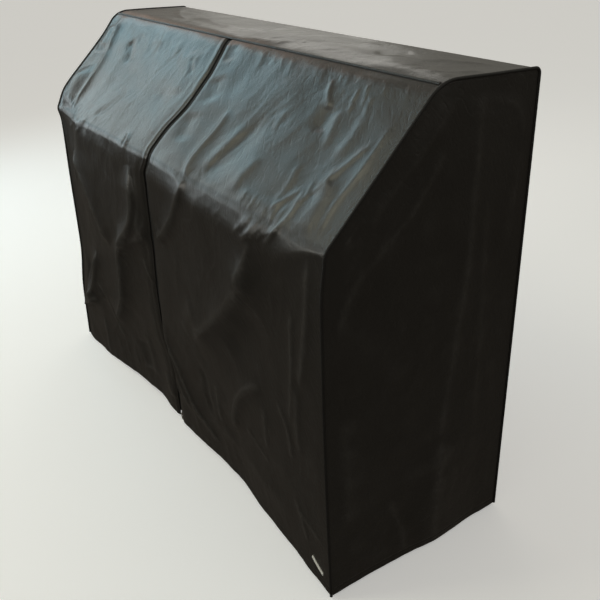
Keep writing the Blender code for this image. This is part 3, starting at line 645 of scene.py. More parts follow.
topPanel = {"columns": 270, "step": 0.0046}
backPanel = {"columns": 170, "step": 0.0105}
endPanel = {"columns": 66, "step": 0.0066}
topFoldRows = topFolds + gatherRows(topGathers)


def backSeamDip(distance):      # the plain seam between the top and the back draws the cloth in
    return 0.0011 * bell(distance, 0.004)


def topSurface():
    downs = joinedRows(
        spread(-cover["tuck"], -rowZones["seam"], 0.0034),
        spread(-rowZones["seam"], backStart + 0.01, topPanel["step"]),
        spread(backStart + 0.01, backSeam, 0.0024),
    )
    shares = gradedShares(cover["width"], topPanel["columns"])
    down, share = np.meshgrid(downs, shares, indexing="ij")
    left = seamPoint(-1, down)[..., 0] + cover["tuck"]
    right = seamPoint(1, down)[..., 0] - cover["tuck"]
    x = left + (right - left) * share
    toEnd = np.minimum(x - left, right - x)
    fade = smooth(toEnd / 0.04) * smooth(-down / 0.025) * smooth((down - backSeam) / 0.04)
    rise = (allFolds(topFoldRows, x, down) + 0.8 * softWaves(x, down, 50.0)) * fade
    pucker = seamPucker(toEnd, down, 52.0) + seamPucker(-down, x, 53.0)
    pucker = pucker + 0.6 * seamPucker(down - backSeam, x, 54.0)
    rise = rise + pucker - backSeamDip(down - backSeam) + cover["cloth"] / 2
    return {
        "points": raised(x, down, rise), "places": np.stack([x, down], -1),
        "hemmed": np.zeros_like(x, bool),
    }


def backSurface():
    downs = joinedRows(
        spread(backSeam, backEnd, 0.0024),
        spread(backEnd, backHemDown + rowZones["hem"], backPanel["step"]), hemRows(backHemDown, -1),
    )
    shares = gradedShares(cover["width"], backPanel["columns"])
    down, share = np.meshgrid(downs, shares, indexing="ij")
    edge = cover["width"] / 2 - cover["tuck"]
    x = edge - 2 * edge * share
    below = backSeam - down
    fade = smooth((edge - np.abs(x)) / cover["edgeFade"]) * smooth(below / cover["edgeFade"])
    rise = (allFolds(backFolds, x, below) + softWaves(x, below, 60.0)) * fade
    pucker = seamPucker(edge - np.abs(x), down, 62.0) + 0.6 * seamPucker(below, x, 63.0)
    hem = hemShape(down - backHemDown, x, 64.0)
    rise = rise + pucker - backSeamDip(below) + hem + cover["cloth"] / 2
    return {
        "points": raised(x, down, rise), "places": np.stack([x, down], -1), "hemRow": hemRow(down),
        "hemmed": down - backHemDown < frontPanel["hemDepth"],
    }


def endSurface(side):      # each row runs from the sloping front edge to the matching height at the back
    downs = joinedRows(
        spread(crestBack, 0.0, 0.0040), spread(0.0, rowZones["knee"], endPanel["step"]),
        spread(rowZones["knee"], rowZones["front"], 0.0048),
        spread(rowZones["front"], frontHemDown - rowZones["hem"], endPanel["step"] * 1.1),
        hemRows(frontHemDown),
    )
    shares = gradedShares(cover["depth"], endPanel["columns"])
    down, share = np.meshgrid(downs, shares, indexing="ij")
    front = insideSeam(side, down)
    level = profilePoint(down)[..., 1]
    topLevel = profilePoint(crestBack)[1]
    matching = backHemDown + (backStart - backHemDown) * level / topLevel
    back = insideSeam(side, matching)
    point = front + (back - front) * share[..., None]
    corner = side * cover["width"] / 2
    point[..., 0] = corner - (corner - front[..., 0]) * (1 - share) ** 2
    drop = cover["height"] - level
    toFront, toBack = point[..., 1] - front[..., 1], back[..., 1] - point[..., 1]
    edges = np.minimum(np.minimum(toFront, toBack), drop)
    fade = smooth(edges / cover["edgeFade"])
    alongY = point[..., 1] + originY
    rise = (allFolds(endFolds, alongY, drop) + 0.8 * softWaves(alongY, drop, 70.0 + side)) * fade
    pucker = seamPucker(toFront * 0.8, down, 74.0 + side) + seamPucker(toBack, down, 76.0 + side)
    pucker = pucker + seamPucker(drop, alongY, 78.0 + side)
    hem = hemShape(frontHemDown - down, alongY, 80.0 + side)
    lift = rise + pucker + hem * smooth(edges / 0.02) + cover["cloth"] / 2
    point[..., 0] += side * lift
    return {
        "points": point, "places": np.stack([alongY, drop], -1), "hemRow": hemRow(down),
        "hemmed": frontHemDown - down < frontPanel["hemDepth"],
    }


# making meshes

collection = bpy.data.collections.new("piano cover looks")
bpy.context.scene.collection.children.link(collection)


def meshObject(name, vertices, faces, materials, uvs=None):
    mesh = bpy.data.meshes.new(name)
    vertices = np.asarray(vertices).reshape(-1, 3).tolist()
    mesh.from_pydata(vertices, [], [list(map(int, face)) for face in faces])
    if uvs is not None:      # the cloth's own coordinates, in metres
        layer = mesh.uv_layers.new(name="clothPlace")
        corners = np.zeros(len(mesh.loops), int)
        mesh.loops.foreach_get("vertex_index", corners)
        layer.data.foreach_set("uv", np.asarray(uvs, float).reshape(-1, 2)[corners].ravel())
    for material in materials:
        mesh.materials.append(material)
    mesh.shade_smooth()
    mesh.validate()
    made = bpy.data.objects.new(name, mesh)
    collection.objects.link(made)
    return made


def gridFaces(rows, columns, flip):
    index = np.arange(rows * columns).reshape(rows, columns)
    around = [index[:-1, :-1], index[1:, :-1], index[1:, 1:], index[:-1, 1:]]
    return np.stack(around[::-1] if flip else around, -1).reshape(-1, 4)


def gridNormals(points):
    across, along = np.gradient(points, axis=1), np.gradient(points, axis=0)
    normal = np.cross(along, across)
    return normal / np.maximum(np.linalg.norm(normal, axis=-1, keepdims=True), 1e-12)


def wearOf(points, outward):      # how sharply the cloth turns outward, where a coating rubs and whitens
    reach, ends, sides = 3, 4, 12      # rows and columns; none of the wear reaches a sheet's edges
    smoothed = points
    for axis in (0, 1):
        rolled = [np.roll(smoothed, step, axis) for step in range(-reach, reach + 1)]
        smoothed = sum(rolled) / len(rolled)
    stands = np.sum((points - smoothed) * outward, -1)
    stands[:ends], stands[-ends:], stands[:, :sides], stands[:, -sides:] = 0, 0, 0, 0
    return np.clip(stands / 0.0011, 0.0, 1.0)


def clothSheet(name, surface, towards, materials):      # a grid of cloth with its thickness and turned hems
    points = surface["points"]
    rows, columns = points.shape[:2]
    normals = gridNormals(points)
    flip = np.sum(normals * np.array(towards)) < 0
    sheet = meshObject(name, points, gridFaces(rows, columns, flip), materials, surface["places"])
    outward = surface["outward"] = -normals if flip else normals
    wear = sheet.data.attributes.new("wear", "FLOAT", "POINT")
    wear.data.foreach_set("value", wearOf(points, outward).ravel())
    hem = sheet.vertex_groups.new(name="hem")
    hem.add(np.flatnonzero(surface["hemmed"]).tolist(), 1.0, "REPLACE")
    solid = sheet.modifiers.new("thickness", "SOLIDIFY")
    solid.thickness, solid.offset = 2 * cover["cloth"], -1.0
    solid.vertex_group, solid.thickness_vertex_group = "hem", 0.5
    solid.material_offset = 1
    solid.use_quality_normals = False
    return sheet


def ringFaces(rings, sides):      # the faces round a row of rings, each of "sides" points
    faces = []
    for ring in range(rings - 1):
        for step in range(sides):
            here, beside = ring * sides + step, ring * sides + (step + 1) % sides
            faces.append((here, beside, beside + sides, here + sides))
    return faces


cord = {"sides": 14, "wrinkle": 0.06, "wrinkleLength": 0.006}


def pipingCord(name, line):      # a round cord with closed ends
    sides, radius = cord["sides"], cover["cordRadius"]
    tangents = np.gradient(line, axis=0)
    tangents /= np.linalg.norm(tangents, axis=1, keepdims=True)
    lengths = lengthsAlong(line)
    upright = np.array((1.0, 0.2, 0.1))
    rings, places = [], []
    for index, (point, tangent) in enumerate(zip(line, tangents)):
        upright = upright - tangent * (upright @ tangent)
        upright /= np.linalg.norm(upright)
        side = np.cross(tangent, upright)
        for step in range(sides):
            angle = 2 * math.pi * step / sides
            across, out = math.cos(angle), math.sin(angle)
            crinkled = noise.noise((lengths[index] / cord["wrinkleLength"], 1.6 * across, 1.6 * out))
            bump = 1 + cord["wrinkle"] * crinkled
            rings.append(point + radius * bump * (across * upright + out * side))
            places.append((radius * angle, lengths[index]))
    count = len(line)
    faces = ringFaces(count, sides)
    faces.append(tuple(reversed(range(sides))))
    faces.append(tuple(range((count - 1) * sides, count * sides)))
    return meshObject(name, rings, faces, [materials["pipingCloth"]], places)


def lineWith(surface, row=None, column=None):      # one line of a surface's grid, and the way out
    points, normals = surface["points"], surface["outward"]
    if row is not None:
        return points[row], normals[row]
    return points[:, column], normals[:, column]


def framesAlong(line, outward, pitch, start, end):      # (axes, place) evenly along a line
    lengths = lengthsAlong(line)
    frames = []
    for at in np.arange(start, lengths[-1] - end, pitch):
        here, ahead, out = (
            np.array([np.interp(place, lengths, values[:, k]) for k in range(3)])
            for place, values in ((at, line), (at + pitch * 0.4, line), (at, outward)))
        along = (ahead - here) / np.linalg.norm(ahead - here)
        out = out - along * (out @ along)
        out = out / np.linalg.norm(out)
        frames.append((np.stack([along, np.cross(out, along), out]), here))
    return frames


def spindle(length, width, height, sink=0.0):      # a short thread or tooth, thinner at its ends
    rings = []
    for share, girth in ((-0.5, 0.35), (-0.38, 0.85), (0.0, 1.0), (0.38, 0.85), (0.5, 0.35)):
        for step in range(6):
            angle = math.pi * step / 3
            rings.append((share * length, math.cos(angle) * width * girth / 2,
                          math.sin(angle) * height * girth / 2 - sink * (2 * share) ** 4))
    faces = ringFaces(5, 6)
    for ring, order in ((0, (0, 5, 4, 3, 2, 1)), (24, (0, 1, 2, 3, 4, 5))):
        a, b, c, d, e, f = (ring + k for k in order)
        faces += [(a, b, c, d), (a, d, e, f)]
    return np.array(rings), faces


def copiesAlong(name, shape, frames, material):      # one small shape at many places, as one mesh
    vertices, faces = shape
    everything = np.concatenate([vertices @ axes + at for axes, at in frames])
    quads = np.asarray(faces)[None] + (np.arange(len(frames)) * len(vertices))[:, None, None]
    return meshObject(name, everything, quads.reshape(-1, 4), [material])


# seams, stitches and the zip

stitch = {"length": 0.0032, "width": 0.0007, "height": 0.0007, "pitch": 0.0044, "sink": 0.0003}
zipDetail = {
    "toothPitch": 0.00135, "toothLength": 0.0036, "toothWidth": 0.0010, "toothHeight": 0.0014,
    "toothOffset": 0.00125,      # from the zip's line to the middle of a tooth
    "tapeWidth": 0.0135, "tapeSink": 0.0012, "tapeColumns": 10,
    "start": 0.002,              # from the crest seam to the tape; the teeth start a little lower
    "sliderLength": 0.014, "sliderWidth": 0.010, "sliderThickness": 0.0048, "plate": 0.0011,
    "pullLength": 0.024, "pullWidth": 0.0075, "pullThickness": 0.0014,
}
zipEnd = frontHemDown - zipDetail["sliderLength"] - 0.002


def sewnLine(name, surface, start, end, row=None, column=None):
    frames = framesAlong(*lineWith(surface, row, column), stitch["pitch"], start, end)
    thread = spindle(stitch["length"], stitch["width"], stitch["height"], stitch["sink"])
    return copiesAlong(name, thread, frames, materials["thread"])


def zipStrip(left, right):
    downs = joinedRows(spread(zipDetail["start"], rowZones["front"], 0.0040),
                       spread(rowZones["front"], zipEnd, 0.0050))
    down, across = np.meshgrid(downs, np.linspace(left, right, zipDetail["tapeColumns"]), indexing="ij")
    points = frontPoint(zipX(down) + across, down, -zipDetail["tapeSink"])
    return {"points": points, "places": np.stack([across, down], -1), "hemmed": np.zeros_like(down, bool)}


def zipTeeth(material):
    downs = np.arange(zipDetail["start"] + 0.003, zipEnd, zipDetail["toothPitch"] / 2)
    side = np.where(np.arange(len(downs)) % 2 == 0, -1.0, 1.0)
    x = zipX(downs) + side * zipDetail["toothOffset"]
    reach, sunk = 0.001, -0.0004
    at, outside, below = (frontPoint(x + beside, downs + lower, sunk)
                          for beside, lower in ((0.0, 0.0), (reach, 0.0), (0.0, reach)))
    frames = []
    for here, beside, lower in zip(at, outside, below):
        across = (beside - here) / np.linalg.norm(beside - here)
        out = np.cross(lower - here, across)
        out = out / np.linalg.norm(out)
        frames.append((np.stack([across, np.cross(out, across), out]), here))
    tooth = spindle(zipDetail["toothLength"], zipDetail["toothWidth"], zipDetail["toothHeight"], 0.0004)
    return copiesAlong("zipTeeth", tooth, frames, material)


def roundRims(work, edges, bevel):
    bmesh.ops.bevel(work, geom=list(edges), offset=bevel, segments=2, affect="EDGES", profile=0.6)


def bridge(work, first, second):      # faces between two loops of points
    for k in range(len(first)):
        beside = (k + 1) % len(first)
        work.faces.new((first[k], first[beside], second[beside], second[k]))


def outlinePlate(work, outline, low, high, bevel):      # a flat shape with rounded rims, added to a mesh
    verts = [work.verts.new((x, y, low)) for x, y in outline]
    face = work.faces.new(verts)
    extruded = bmesh.ops.extrude_face_region(work, geom=[face])
    top = [item for item in extruded["geom"] if isinstance(item, bmesh.types.BMVert)]
    bmesh.ops.translate(work, verts=top, vec=(0, 0, high - low))
    edges = {edge for vert in verts + top for edge in vert.link_edges}
    flat = [edge for edge in edges if abs(edge.verts[0].co.z - edge.verts[1].co.z) < 1e-7]
    roundRims(work, flat, bevel)


def ringPlate(work, outer, inner, low, high, bevel):      # the same with a hole, both outlines alike in count
    count = len(outer)
    loops = [[work.verts.new((x, y, z)) for x, y in line]
             for line, z in ((outer, low), (outer, high), (inner, high), (inner, low))]
    for first, second in zip(loops, loops[1:] + loops[:1]):
        bridge(work, first, second)
    rims = {edge for loop in loops for k, vert in enumerate(loop) for edge in vert.link_edges
            if edge.other_vert(vert) in (loop[(k + 1) % count], loop[k - 1])}
    roundRims(work, rims, bevel)


def ovalOutline(halfWidth, halfLength, centreY, power=2.6, count=36):
    outline = []
    for step in range(count):
        angle = 2 * math.pi * step / count
        c, s = math.cos(angle), math.sin(angle)
        outline.append((halfWidth * math.copysign(abs(c) ** (2 / power), c),
                        centreY + halfLength * math.copysign(abs(s) ** (2 / power), s)))
    return outline


def archRod(work, points, radius, sides=10):      # a bent rod with closed ends, added to a mesh
    line = np.array(points)
    tangents = np.gradient(line, axis=0)
    rings = []
    for point, tangent in zip(line, tangents):
        tangent = tangent / np.linalg.norm(tangent)
        across = np.array((1.0, 0.0, 0.0))
        over = np.cross(tangent, across)
        rings.append([work.verts.new(point + radius * (math.cos(2 * math.pi * k / sides) * across
                                                       + math.sin(2 * math.pi * k / sides) * over))
                      for k in range(sides)])
    for first, second in zip(rings, rings[1:]):
        bridge(work, first, second)
    work.faces.new(rings[0][::-1])
    work.faces.new(rings[-1])


def finishWork(work, name, matrix, material):
    bmesh.ops.recalc_face_normals(work, faces=work.faces)
    bmesh.ops.transform(work, matrix=matrix, verts=work.verts)
    # points and faces in order of place, so that each run gives the same mesh
    points = sorted(work.verts, key=lambda vert: [round(value, 6) for value in vert.co])
    order = {vert: index for index, vert in enumerate(points)}
    faces = []
    for face in work.faces:
        around = [order[vert] for vert in face.verts]
        first = around.index(min(around))
        faces.append(around[first:] + around[:first])
    mesh = bpy.data.meshes.new(name)
    mesh.from_pydata([tuple(vert.co) for vert in points], [], sorted(faces))
    work.free()
    mesh.materials.append(material)
    mesh.shade_smooth()
    mesh.set_sharp_from_angle(angle=math.radians(38))
    made = bpy.data.objects.new(name, mesh)
    collection.objects.link(made)
    return made


def sliderPlace():      # across the zip, up along it and out of the cloth, at the slider's middle
    middle = zipEnd + 0.0006 + zipDetail["sliderLength"] / 2
    x = float(zipX(middle))
    centre = Vector(frontPoint(x, middle))
    across = Vector(frontPoint(x + 0.004, middle)) - Vector(frontPoint(x - 0.004, middle))
    upward = Vector(frontPoint(x, middle - 0.006)) - Vector(frontPoint(x, middle + 0.006))
    outward = across.cross(upward).normalized()
    upward.normalize()
    axes = Matrix((upward.cross(outward), upward, outward)).transposed().to_4x4()
    return Matrix.Translation(centre) @ axes


def zipSlider(material):
    d = zipDetail
    half, thick, plate = d["sliderLength"] / 2, d["sliderThickness"] / 2, d["plate"]
    work = bmesh.new()
    shoulders = [(-1.0, 0.62), (-0.86, 0.86), (-0.45, 1.0), (0.10, 0.86), (0.60, 0.72), (0.90, 0.64),
                 (1.0, 0.48)]
    rightHand = [(d["sliderWidth"] / 2 * wide, half * up) for up, wide in shoulders]
    outline = rightHand + [(-x, y) for x, y in reversed(rightHand)]
    outlinePlate(work, outline, thick - 1.5 * plate, thick - 0.5 * plate, 0.0003)
    outlinePlate(work, outline, -thick + 0.2 * plate, -thick + 1.2 * plate, 0.0003)
    wedge = [(0.0, -half * 0.98), (0.0014, -half * 0.55), (0.0011, -half * 0.1), (-0.0011, -half * 0.1),
             (-0.0014, -half * 0.55)]
    outlinePlate(work, wedge, -thick + plate, thick - plate, 0.0001)
    for side in (-1, 1):      # the rims that close round the teeth
        rim = [(side * d["sliderWidth"] / 2 * wide * inset, half * up)
               for inset, rows in ((0.99, shoulders[2:6]), (0.84, shoulders[5:1:-1])) for up, wide in rows]
        outlinePlate(work, rim, thick - 1.9 * plate, thick - 1.0 * plate, 0.0001)
    arch = [(0.0, half * (0.62 - 1.25 * t), thick - 0.6 * plate + 0.0021 * math.sin(math.pi * t) ** 0.6)
            for t in np.linspace(0, 1, 14)]
    archRod(work, arch, 0.00075)
    return finishWork(work, "zipSlider", sliderPlace(), material)


def zipPull(material):      # a small eye on the slider's arch, a neck, and the long loop a hand takes
    d = zipDetail
    work = bmesh.new()
    wide, long, thick = d["pullWidth"] / 2, d["pullLength"] / 2, d["pullThickness"]
    ringPlate(work, ovalOutline(0.0026, 0.0032, long - 0.0032), ovalOutline(0.0013, 0.0017, long - 0.0032),
              -thick / 2, thick / 2, 0.0003)
    neck = [(-0.0016, long - 0.0085), (0.0016, long - 0.0085), (0.0014, long - 0.0052),
            (-0.0014, long - 0.0052)]
    outlinePlate(work, neck, -thick / 2, thick / 2, 0.0002)
    rim, hole = (wide, long - 0.0040, -0.0040, 3.2), (wide - 0.0021, long - 0.0062, -0.0040, 3.0)
    ringPlate(work, ovalOutline(*rim), ovalOutline(*hole), -thick / 2, thick / 2, 0.0004)
    hang = Matrix.Translation((0, (d["sliderLength"] - d["pullLength"]) / 2 - 0.004,
                               (d["sliderThickness"] + d["pullThickness"]) / 2 + 0.0006))
    lean = Matrix.Rotation(math.radians(2.5), 4, "X")
    return finishWork(work, "zipPull", sliderPlace() @ hang @ lean, material)


label = {
    "length": 0.048, "width": 0.010, "tilt": 20.0, "x": 0.706, "down": 1.167,
    "turned": 0.004, "turnedRise": 0.0003,      # the ends are folded under
    "endStitch": 0.0022, "stitchLength": 0.0015, "stitchWidth": 0.00035, "stitchPitch": 0.0019,
    "lift": 0.0012, "bow": 0.0006,
}


def labelSurface():
    tilt = math.radians(label["tilt"])
    along, across = np.meshgrid((np.linspace(0, 1, 56) - 0.5) * label["length"],
                                (np.linspace(0, 1, 15) - 0.5) * label["width"], indexing="ij")
    x = label["x"] + along * math.cos(tilt) - across * math.sin(tilt)
    down = label["down"] + along * math.sin(tilt) + across * math.cos(tilt)
    fromEnd = label["length"] / 2 - np.abs(along)
    turned = label["turnedRise"] * (1 - smooth((fromEnd - label["turned"]) / 0.001))
    groove = 0.0002 * bell(fromEnd - label["endStitch"], 0.0006)
    bow = label["bow"] * np.sin(np.clip(fromEnd / (label["length"] / 2), 0, 1) * math.pi / 2) ** 2
    selvedge = 0.0001 * bell(label["width"] / 2 - np.abs(across), 0.0005)
    lift = label["lift"] + turned - groove + bow + selvedge
    return {"points": frontPoint(x, down, lift), "places": np.stack([along, across], -1),
            "hemmed": np.zeros_like(x, bool)}


# finishes

def feed(tree, socket, value):      # a link from another node, or a plain value
    if isinstance(value, bpy.types.NodeSocket):
        tree.links.new(value, socket)
    else:
        socket.default_value = value


def shaderNode(tree, kind, settings=None, values=None):      # a node, its settings and its values
    made = tree.nodes.new("ShaderNode" + kind)
    for key, value in (settings or {}).items():
        setattr(made, key, value)
    for key, value in (values or {}).items():
        feed(tree, made.inputs[key], value)
    return made


def maths(tree, operation, first, second=0.0, clamped=False):
    made = shaderNode(tree, "Math", {"operation": operation, "use_clamp": clamped}, {0: first, 1: second})
    return made.outputs[0]


def ranged(tree, value, fromLow, fromHigh, toLow, toHigh):
    made = shaderNode(tree, "MapRange", {}, {"Value": value, "From Min": fromLow, "From Max": fromHigh,
                                             "To Min": toLow, "To Max": toHigh})
    return made.outputs["Result"]


def mixed(tree, share, first, second):
    made = shaderNode(tree, "Mix", {"data_type": "RGBA"})
    for key, value in (("Factor", share), (6, first), (7, second)):
        feed(tree, made.inputs[key], value)
    return made.outputs[2]


def nodeGroup(name, inputs, outputs):
    group = bpy.data.node_groups.new(name, "ShaderNodeTree")
    for socketName, kind, value in inputs:
        socket = group.interface.new_socket(name=socketName, in_out="INPUT", socket_type="NodeSocket" + kind)
        if value is not None:
            socket.default_value = value
    for socketName, kind in outputs:
        group.interface.new_socket(name=socketName, in_out="OUTPUT", socket_type="NodeSocket" + kind)
    return group, group.nodes.new("NodeGroupInput").outputs, group.nodes.new("NodeGroupOutput").inputs


def weaveGroup():      # plain weave: warp and weft pass over each other in turn
    group, given, out = nodeGroup("plain weave", [
        ("Place", "Vector", None), ("Pitch", "Float", 0.0007), ("Slub", "Float", 0.3)],
        [("Height", "Float"), ("Shade", "Float")])
    wobble = shaderNode(group, "TexNoise", {}, {"Vector": given["Place"], "Scale": 240.0, "Detail": 1.0})
    drift = maths(group, "MULTIPLY", maths(group, "SUBTRACT", wobble.outputs[0], 0.5), given["Slub"])
    parts = shaderNode(group, "SeparateXYZ", {}, {0: given["Place"]})
    waves = []
    for axis in (0, 1):
        turns = maths(group, "DIVIDE", parts.outputs[axis], given["Pitch"])
        drifted = maths(group, "ADD", turns, drift)
        waves.append(maths(group, "SINE", maths(group, "MULTIPLY", drifted, math.pi)))
    over = maths(group, "GREATER_THAN", maths(group, "MULTIPLY", *waves), 0.0)
    warp, weft = (maths(group, "ABSOLUTE", wave) for wave in waves)
    picked = maths(group, "ADD", maths(group, "MULTIPLY", warp, over),
                   maths(group, "MULTIPLY", weft, maths(group, "SUBTRACT", 1.0, over)))
    group.links.new(picked, out["Height"])
    group.links.new(ranged(group, over, 0.0, 1.0, 0.92, 1.06), out["Shade"])
    return group


def crinkleGroup():      # the fine crushed grain of a coated cloth
    group, given, out = nodeGroup("crinkle", [
        ("Place", "Vector", None), ("Size", "Float", 0.01), ("Lean", "Float", 0.5)], [("Height", "Float")])
    turned = shaderNode(group, "Mapping", {}, {"Vector": given["Place"], "Rotation": (0.0, 0.0, 0.6)})
    parts = shaderNode(group, "SeparateXYZ", {}, {0: turned.outputs[0]})
    longWay = maths(group, "MULTIPLY", parts.outputs[1], given["Lean"])
    stretched = shaderNode(group, "CombineXYZ", {}, {0: parts.outputs[0], 1: longWay})
    scale = maths(group, "DIVIDE", 1.0, given["Size"])
    soft = shaderNode(group, "TexNoise", {}, {
        "Vector": stretched.outputs[0], "Scale": scale, "Detail": 3.0, "Roughness": 0.55, "Distortion": 0.6})
    ridge = maths(group, "ABSOLUTE", maths(group, "SUBTRACT", soft.outputs[0], 0.5))
    sharp = maths(group, "SUBTRACT", 1.0, maths(group, "MULTIPLY", ridge, 4.0), clamped=True)
    group.links.new(maths(group, "ADD", maths(group, "MULTIPLY", sharp, 0.5), soft.outputs[0]), out["Height"])
    return group


def wearGroup():      # uneven dye, rubbed creases and dust on what faces up
    group, given, out = nodeGroup("dye, wear and dust", [
        ("Colour", "Color", (0.02, 0.02, 0.02, 1)), ("Worn", "Color", (0.1, 0.1, 0.1, 1)),
        ("Wear", "Float", 0.0), ("Dust", "Float", 0.2), ("Variation", "Float", 0.2)],
        [("Colour", "Color"), ("Matt", "Float")])
    place = shaderNode(group, "TexCoord").outputs["Object"]
    broad = shaderNode(group, "TexNoise", {}, {"Vector": place, "Scale": 7.0, "Detail": 3.0})
    fine = shaderNode(group, "TexNoise", {}, {
        "Vector": place, "Scale": 90.0, "Detail": 4.0, "Roughness": 0.7})
    swing = maths(group, "MULTIPLY", maths(group, "SUBTRACT", broad.outputs[0], 0.5), given["Variation"])
    dyed = shaderNode(group, "HueSaturation", {}, {
        "Color": given["Colour"], "Value": maths(group, "ADD", maths(group, "MULTIPLY", swing, 2.0), 1.0)})
    rubbed = maths(group, "MULTIPLY", given["Wear"], ranged(group, fine.outputs[0], 0.35, 0.65, 0.3, 1.0))
    worn = mixed(group, rubbed, dyed.outputs[0], given["Worn"])
    facing = shaderNode(group, "SeparateXYZ", {}, {0: shaderNode(group, "NewGeometry").outputs["Normal"]})
    upward = ranged(group, facing.outputs[2], 0.35, 1.0, 0.0, 1.0)
    settled = maths(group, "MULTIPLY", maths(group, "MULTIPLY", upward, given["Dust"]),
                    ranged(group, fine.outputs[0], 0.30, 0.75, 0.1, 1.0))
    group.links.new(mixed(group, settled, worn, (0.30, 0.28, 0.25, 1)), out["Colour"])
    matt = maths(group, "ADD", maths(group, "MULTIPLY", settled, 0.6), broad.outputs[0])
    group.links.new(matt, out["Matt"])
    return group


groups = {"weave": weaveGroup(), "crinkle": crinkleGroup(), "wear": wearGroup()}


def useGroup(tree, key, values):
    return shaderNode(tree, "Group", {"node_tree": groups[key]}, values).outputs


finishes = {
    "coatedCloth": {
        "colour": (0.0150, 0.0138, 0.0125), "worn": (0.038, 0.036, 0.034), "roughness": (0.28, 0.37),
        "pitch": 0.0007, "weaveDepth": 0.00003, "crinkle": 0.013, "crinkleDepth": 0.00060,
        "dust": 0.05, "variation": 0.25, "coat": 0.12, "coatRoughness": 0.22,
    },
    "clothInside": {
        "colour": (0.020, 0.020, 0.021), "worn": (0.05, 0.05, 0.05), "roughness": (0.70, 0.82),
        "pitch": 0.0007, "weaveDepth": 0.00006, "crinkle": 0.012, "crinkleDepth": 0.00020,
        "dust": 0.0, "variation": 0.2, "coat": 0.0, "coatRoughness": 0.3,
    },
    "pipingCloth": {
        "colour": (0.0060, 0.0058, 0.0056), "worn": (0.035, 0.034, 0.033), "roughness": (0.42, 0.55),
        "pitch": 0.0006, "weaveDepth": 0.00005, "crinkle": 0.004, "crinkleDepth": 0.00025,
        "dust": 0.04, "variation": 0.2, "coat": 0.05, "coatRoughness": 0.3,
    },
    "zipTape": {
        "colour": (0.0075, 0.0075, 0.0080), "worn": (0.03, 0.03, 0.03), "roughness": (0.72, 0.84),
        "pitch": 0.0009, "weaveDepth": 0.00012, "crinkle": 0.010, "crinkleDepth": 0.00010,
        "dust": 0.03, "variation": 0.15, "coat": 0.0, "coatRoughness": 0.3,
    },
    "wovenLabel": {
        "colour": (0.74, 0.73, 0.70), "worn": (0.60, 0.58, 0.54), "roughness": (0.62, 0.74),
        "pitch": 0.0005, "weaveDepth": 0.00008, "crinkle": 0.006, "crinkleDepth": 0.00008,
        "dust": 0.05, "variation": 0.08, "coat": 0.0, "coatRoughness": 0.3,
    },
}


def newMaterial(name):
    material = bpy.data.materials.new(name)
    material.use_nodes = True
    return material, material.node_tree, material.node_tree.nodes["Principled BSDF"]


def bumped(tree, height, depth, **under):
    values = {"Height": height, "Strength": 1.0, "Distance": depth, **under}
    return shaderNode(tree, "Bump", {}, values).outputs[0]


def clothMaterial(name):
    finish = finishes[name]
    material, tree, shader = newMaterial(name)
    place = shaderNode(tree, "UVMap", {"uv_map": "clothPlace"}).outputs[0]
    weave = useGroup(tree, "weave", {"Place": place, "Pitch": finish["pitch"], "Slub": 0.35})
    crinkle = useGroup(tree, "crinkle", {"Place": place, "Size": finish["crinkle"], "Lean": 0.45})
    rubbed = shaderNode(tree, "Attribute", {"attribute_name": "wear"}).outputs["Fac"]
    dyed = useGroup(tree, "wear", {
        "Colour": (*finish["colour"], 1), "Worn": (*finish["worn"], 1), "Wear": rubbed,
        "Dust": finish["dust"], "Variation": finish["variation"]})
    shade = shaderNode(tree, "HueSaturation", {}, {"Color": dyed["Colour"], "Value": weave["Shade"]})
    tree.links.new(shade.outputs[0], shader.inputs["Base Color"])
    matt = ranged(tree, dyed["Matt"], 0.3, 0.75, *finish["roughness"])
    tree.links.new(matt, shader.inputs["Roughness"])
    crushed = bumped(tree, crinkle["Height"], finish["crinkleDepth"])
    woven = bumped(tree, weave["Height"], finish["weaveDepth"], Normal=crushed)
    tree.links.new(woven, shader.inputs["Normal"])
    shader.inputs["Coat Weight"].default_value = finish["coat"]
    shader.inputs["Coat Roughness"].default_value = finish["coatRoughness"]
    return material


plainFinishes = {
    "thread": {"colour": (0.010, 0.010, 0.010), "worn": (0.03, 0.03, 0.03), "roughness": (0.50, 0.65),
               "metallic": 0.0, "grainSize": 0.0006, "grainDepth": 0.00003},
    "whiteThread": {"colour": (0.70, 0.69, 0.66), "worn": (0.8, 0.8, 0.8), "roughness": (0.50, 0.65),
                    "metallic": 0.0, "grainSize": 0.0006, "grainDepth": 0.00003},
    "teeth": {"colour": (0.008, 0.008, 0.008), "worn": (0.04, 0.04, 0.04), "roughness": (0.30, 0.42),
              "metallic": 0.0, "grainSize": 0.002, "grainDepth": 0.00001},
    "nickel": {"colour": (0.66, 0.65, 0.62), "worn": (0.80, 0.78, 0.74), "roughness": (0.20, 0.36),
               "metallic": 1.0, "grainSize": 0.0015, "grainDepth": 0.00001},
}


def plainMaterial(name):
    finish = plainFinishes[name]
    material, tree, shader = newMaterial(name)
    place = shaderNode(tree, "TexCoord").outputs["Object"]
    crinkle = useGroup(tree, "crinkle", {"Place": place, "Size": finish["grainSize"], "Lean": 0.3})
    edges = shaderNode(tree, "NewGeometry").outputs["Pointiness"]
    dyed = useGroup(tree, "wear", {
        "Colour": (*finish["colour"], 1), "Worn": (*finish["worn"], 1),
        "Wear": ranged(tree, edges, 0.52, 0.60, 0.0, 0.7), "Dust": 0.04, "Variation": 0.15})
    tree.links.new(dyed["Colour"], shader.inputs["Base Color"])
    matt = ranged(tree, dyed["Matt"], 0.3, 0.75, *finish["roughness"])
    tree.links.new(matt, shader.inputs["Roughness"])
    tree.links.new(bumped(tree, crinkle["Height"], finish["grainDepth"]), shader.inputs["Normal"])
    shader.inputs["Metallic"].default_value = finish["metallic"]
    return material


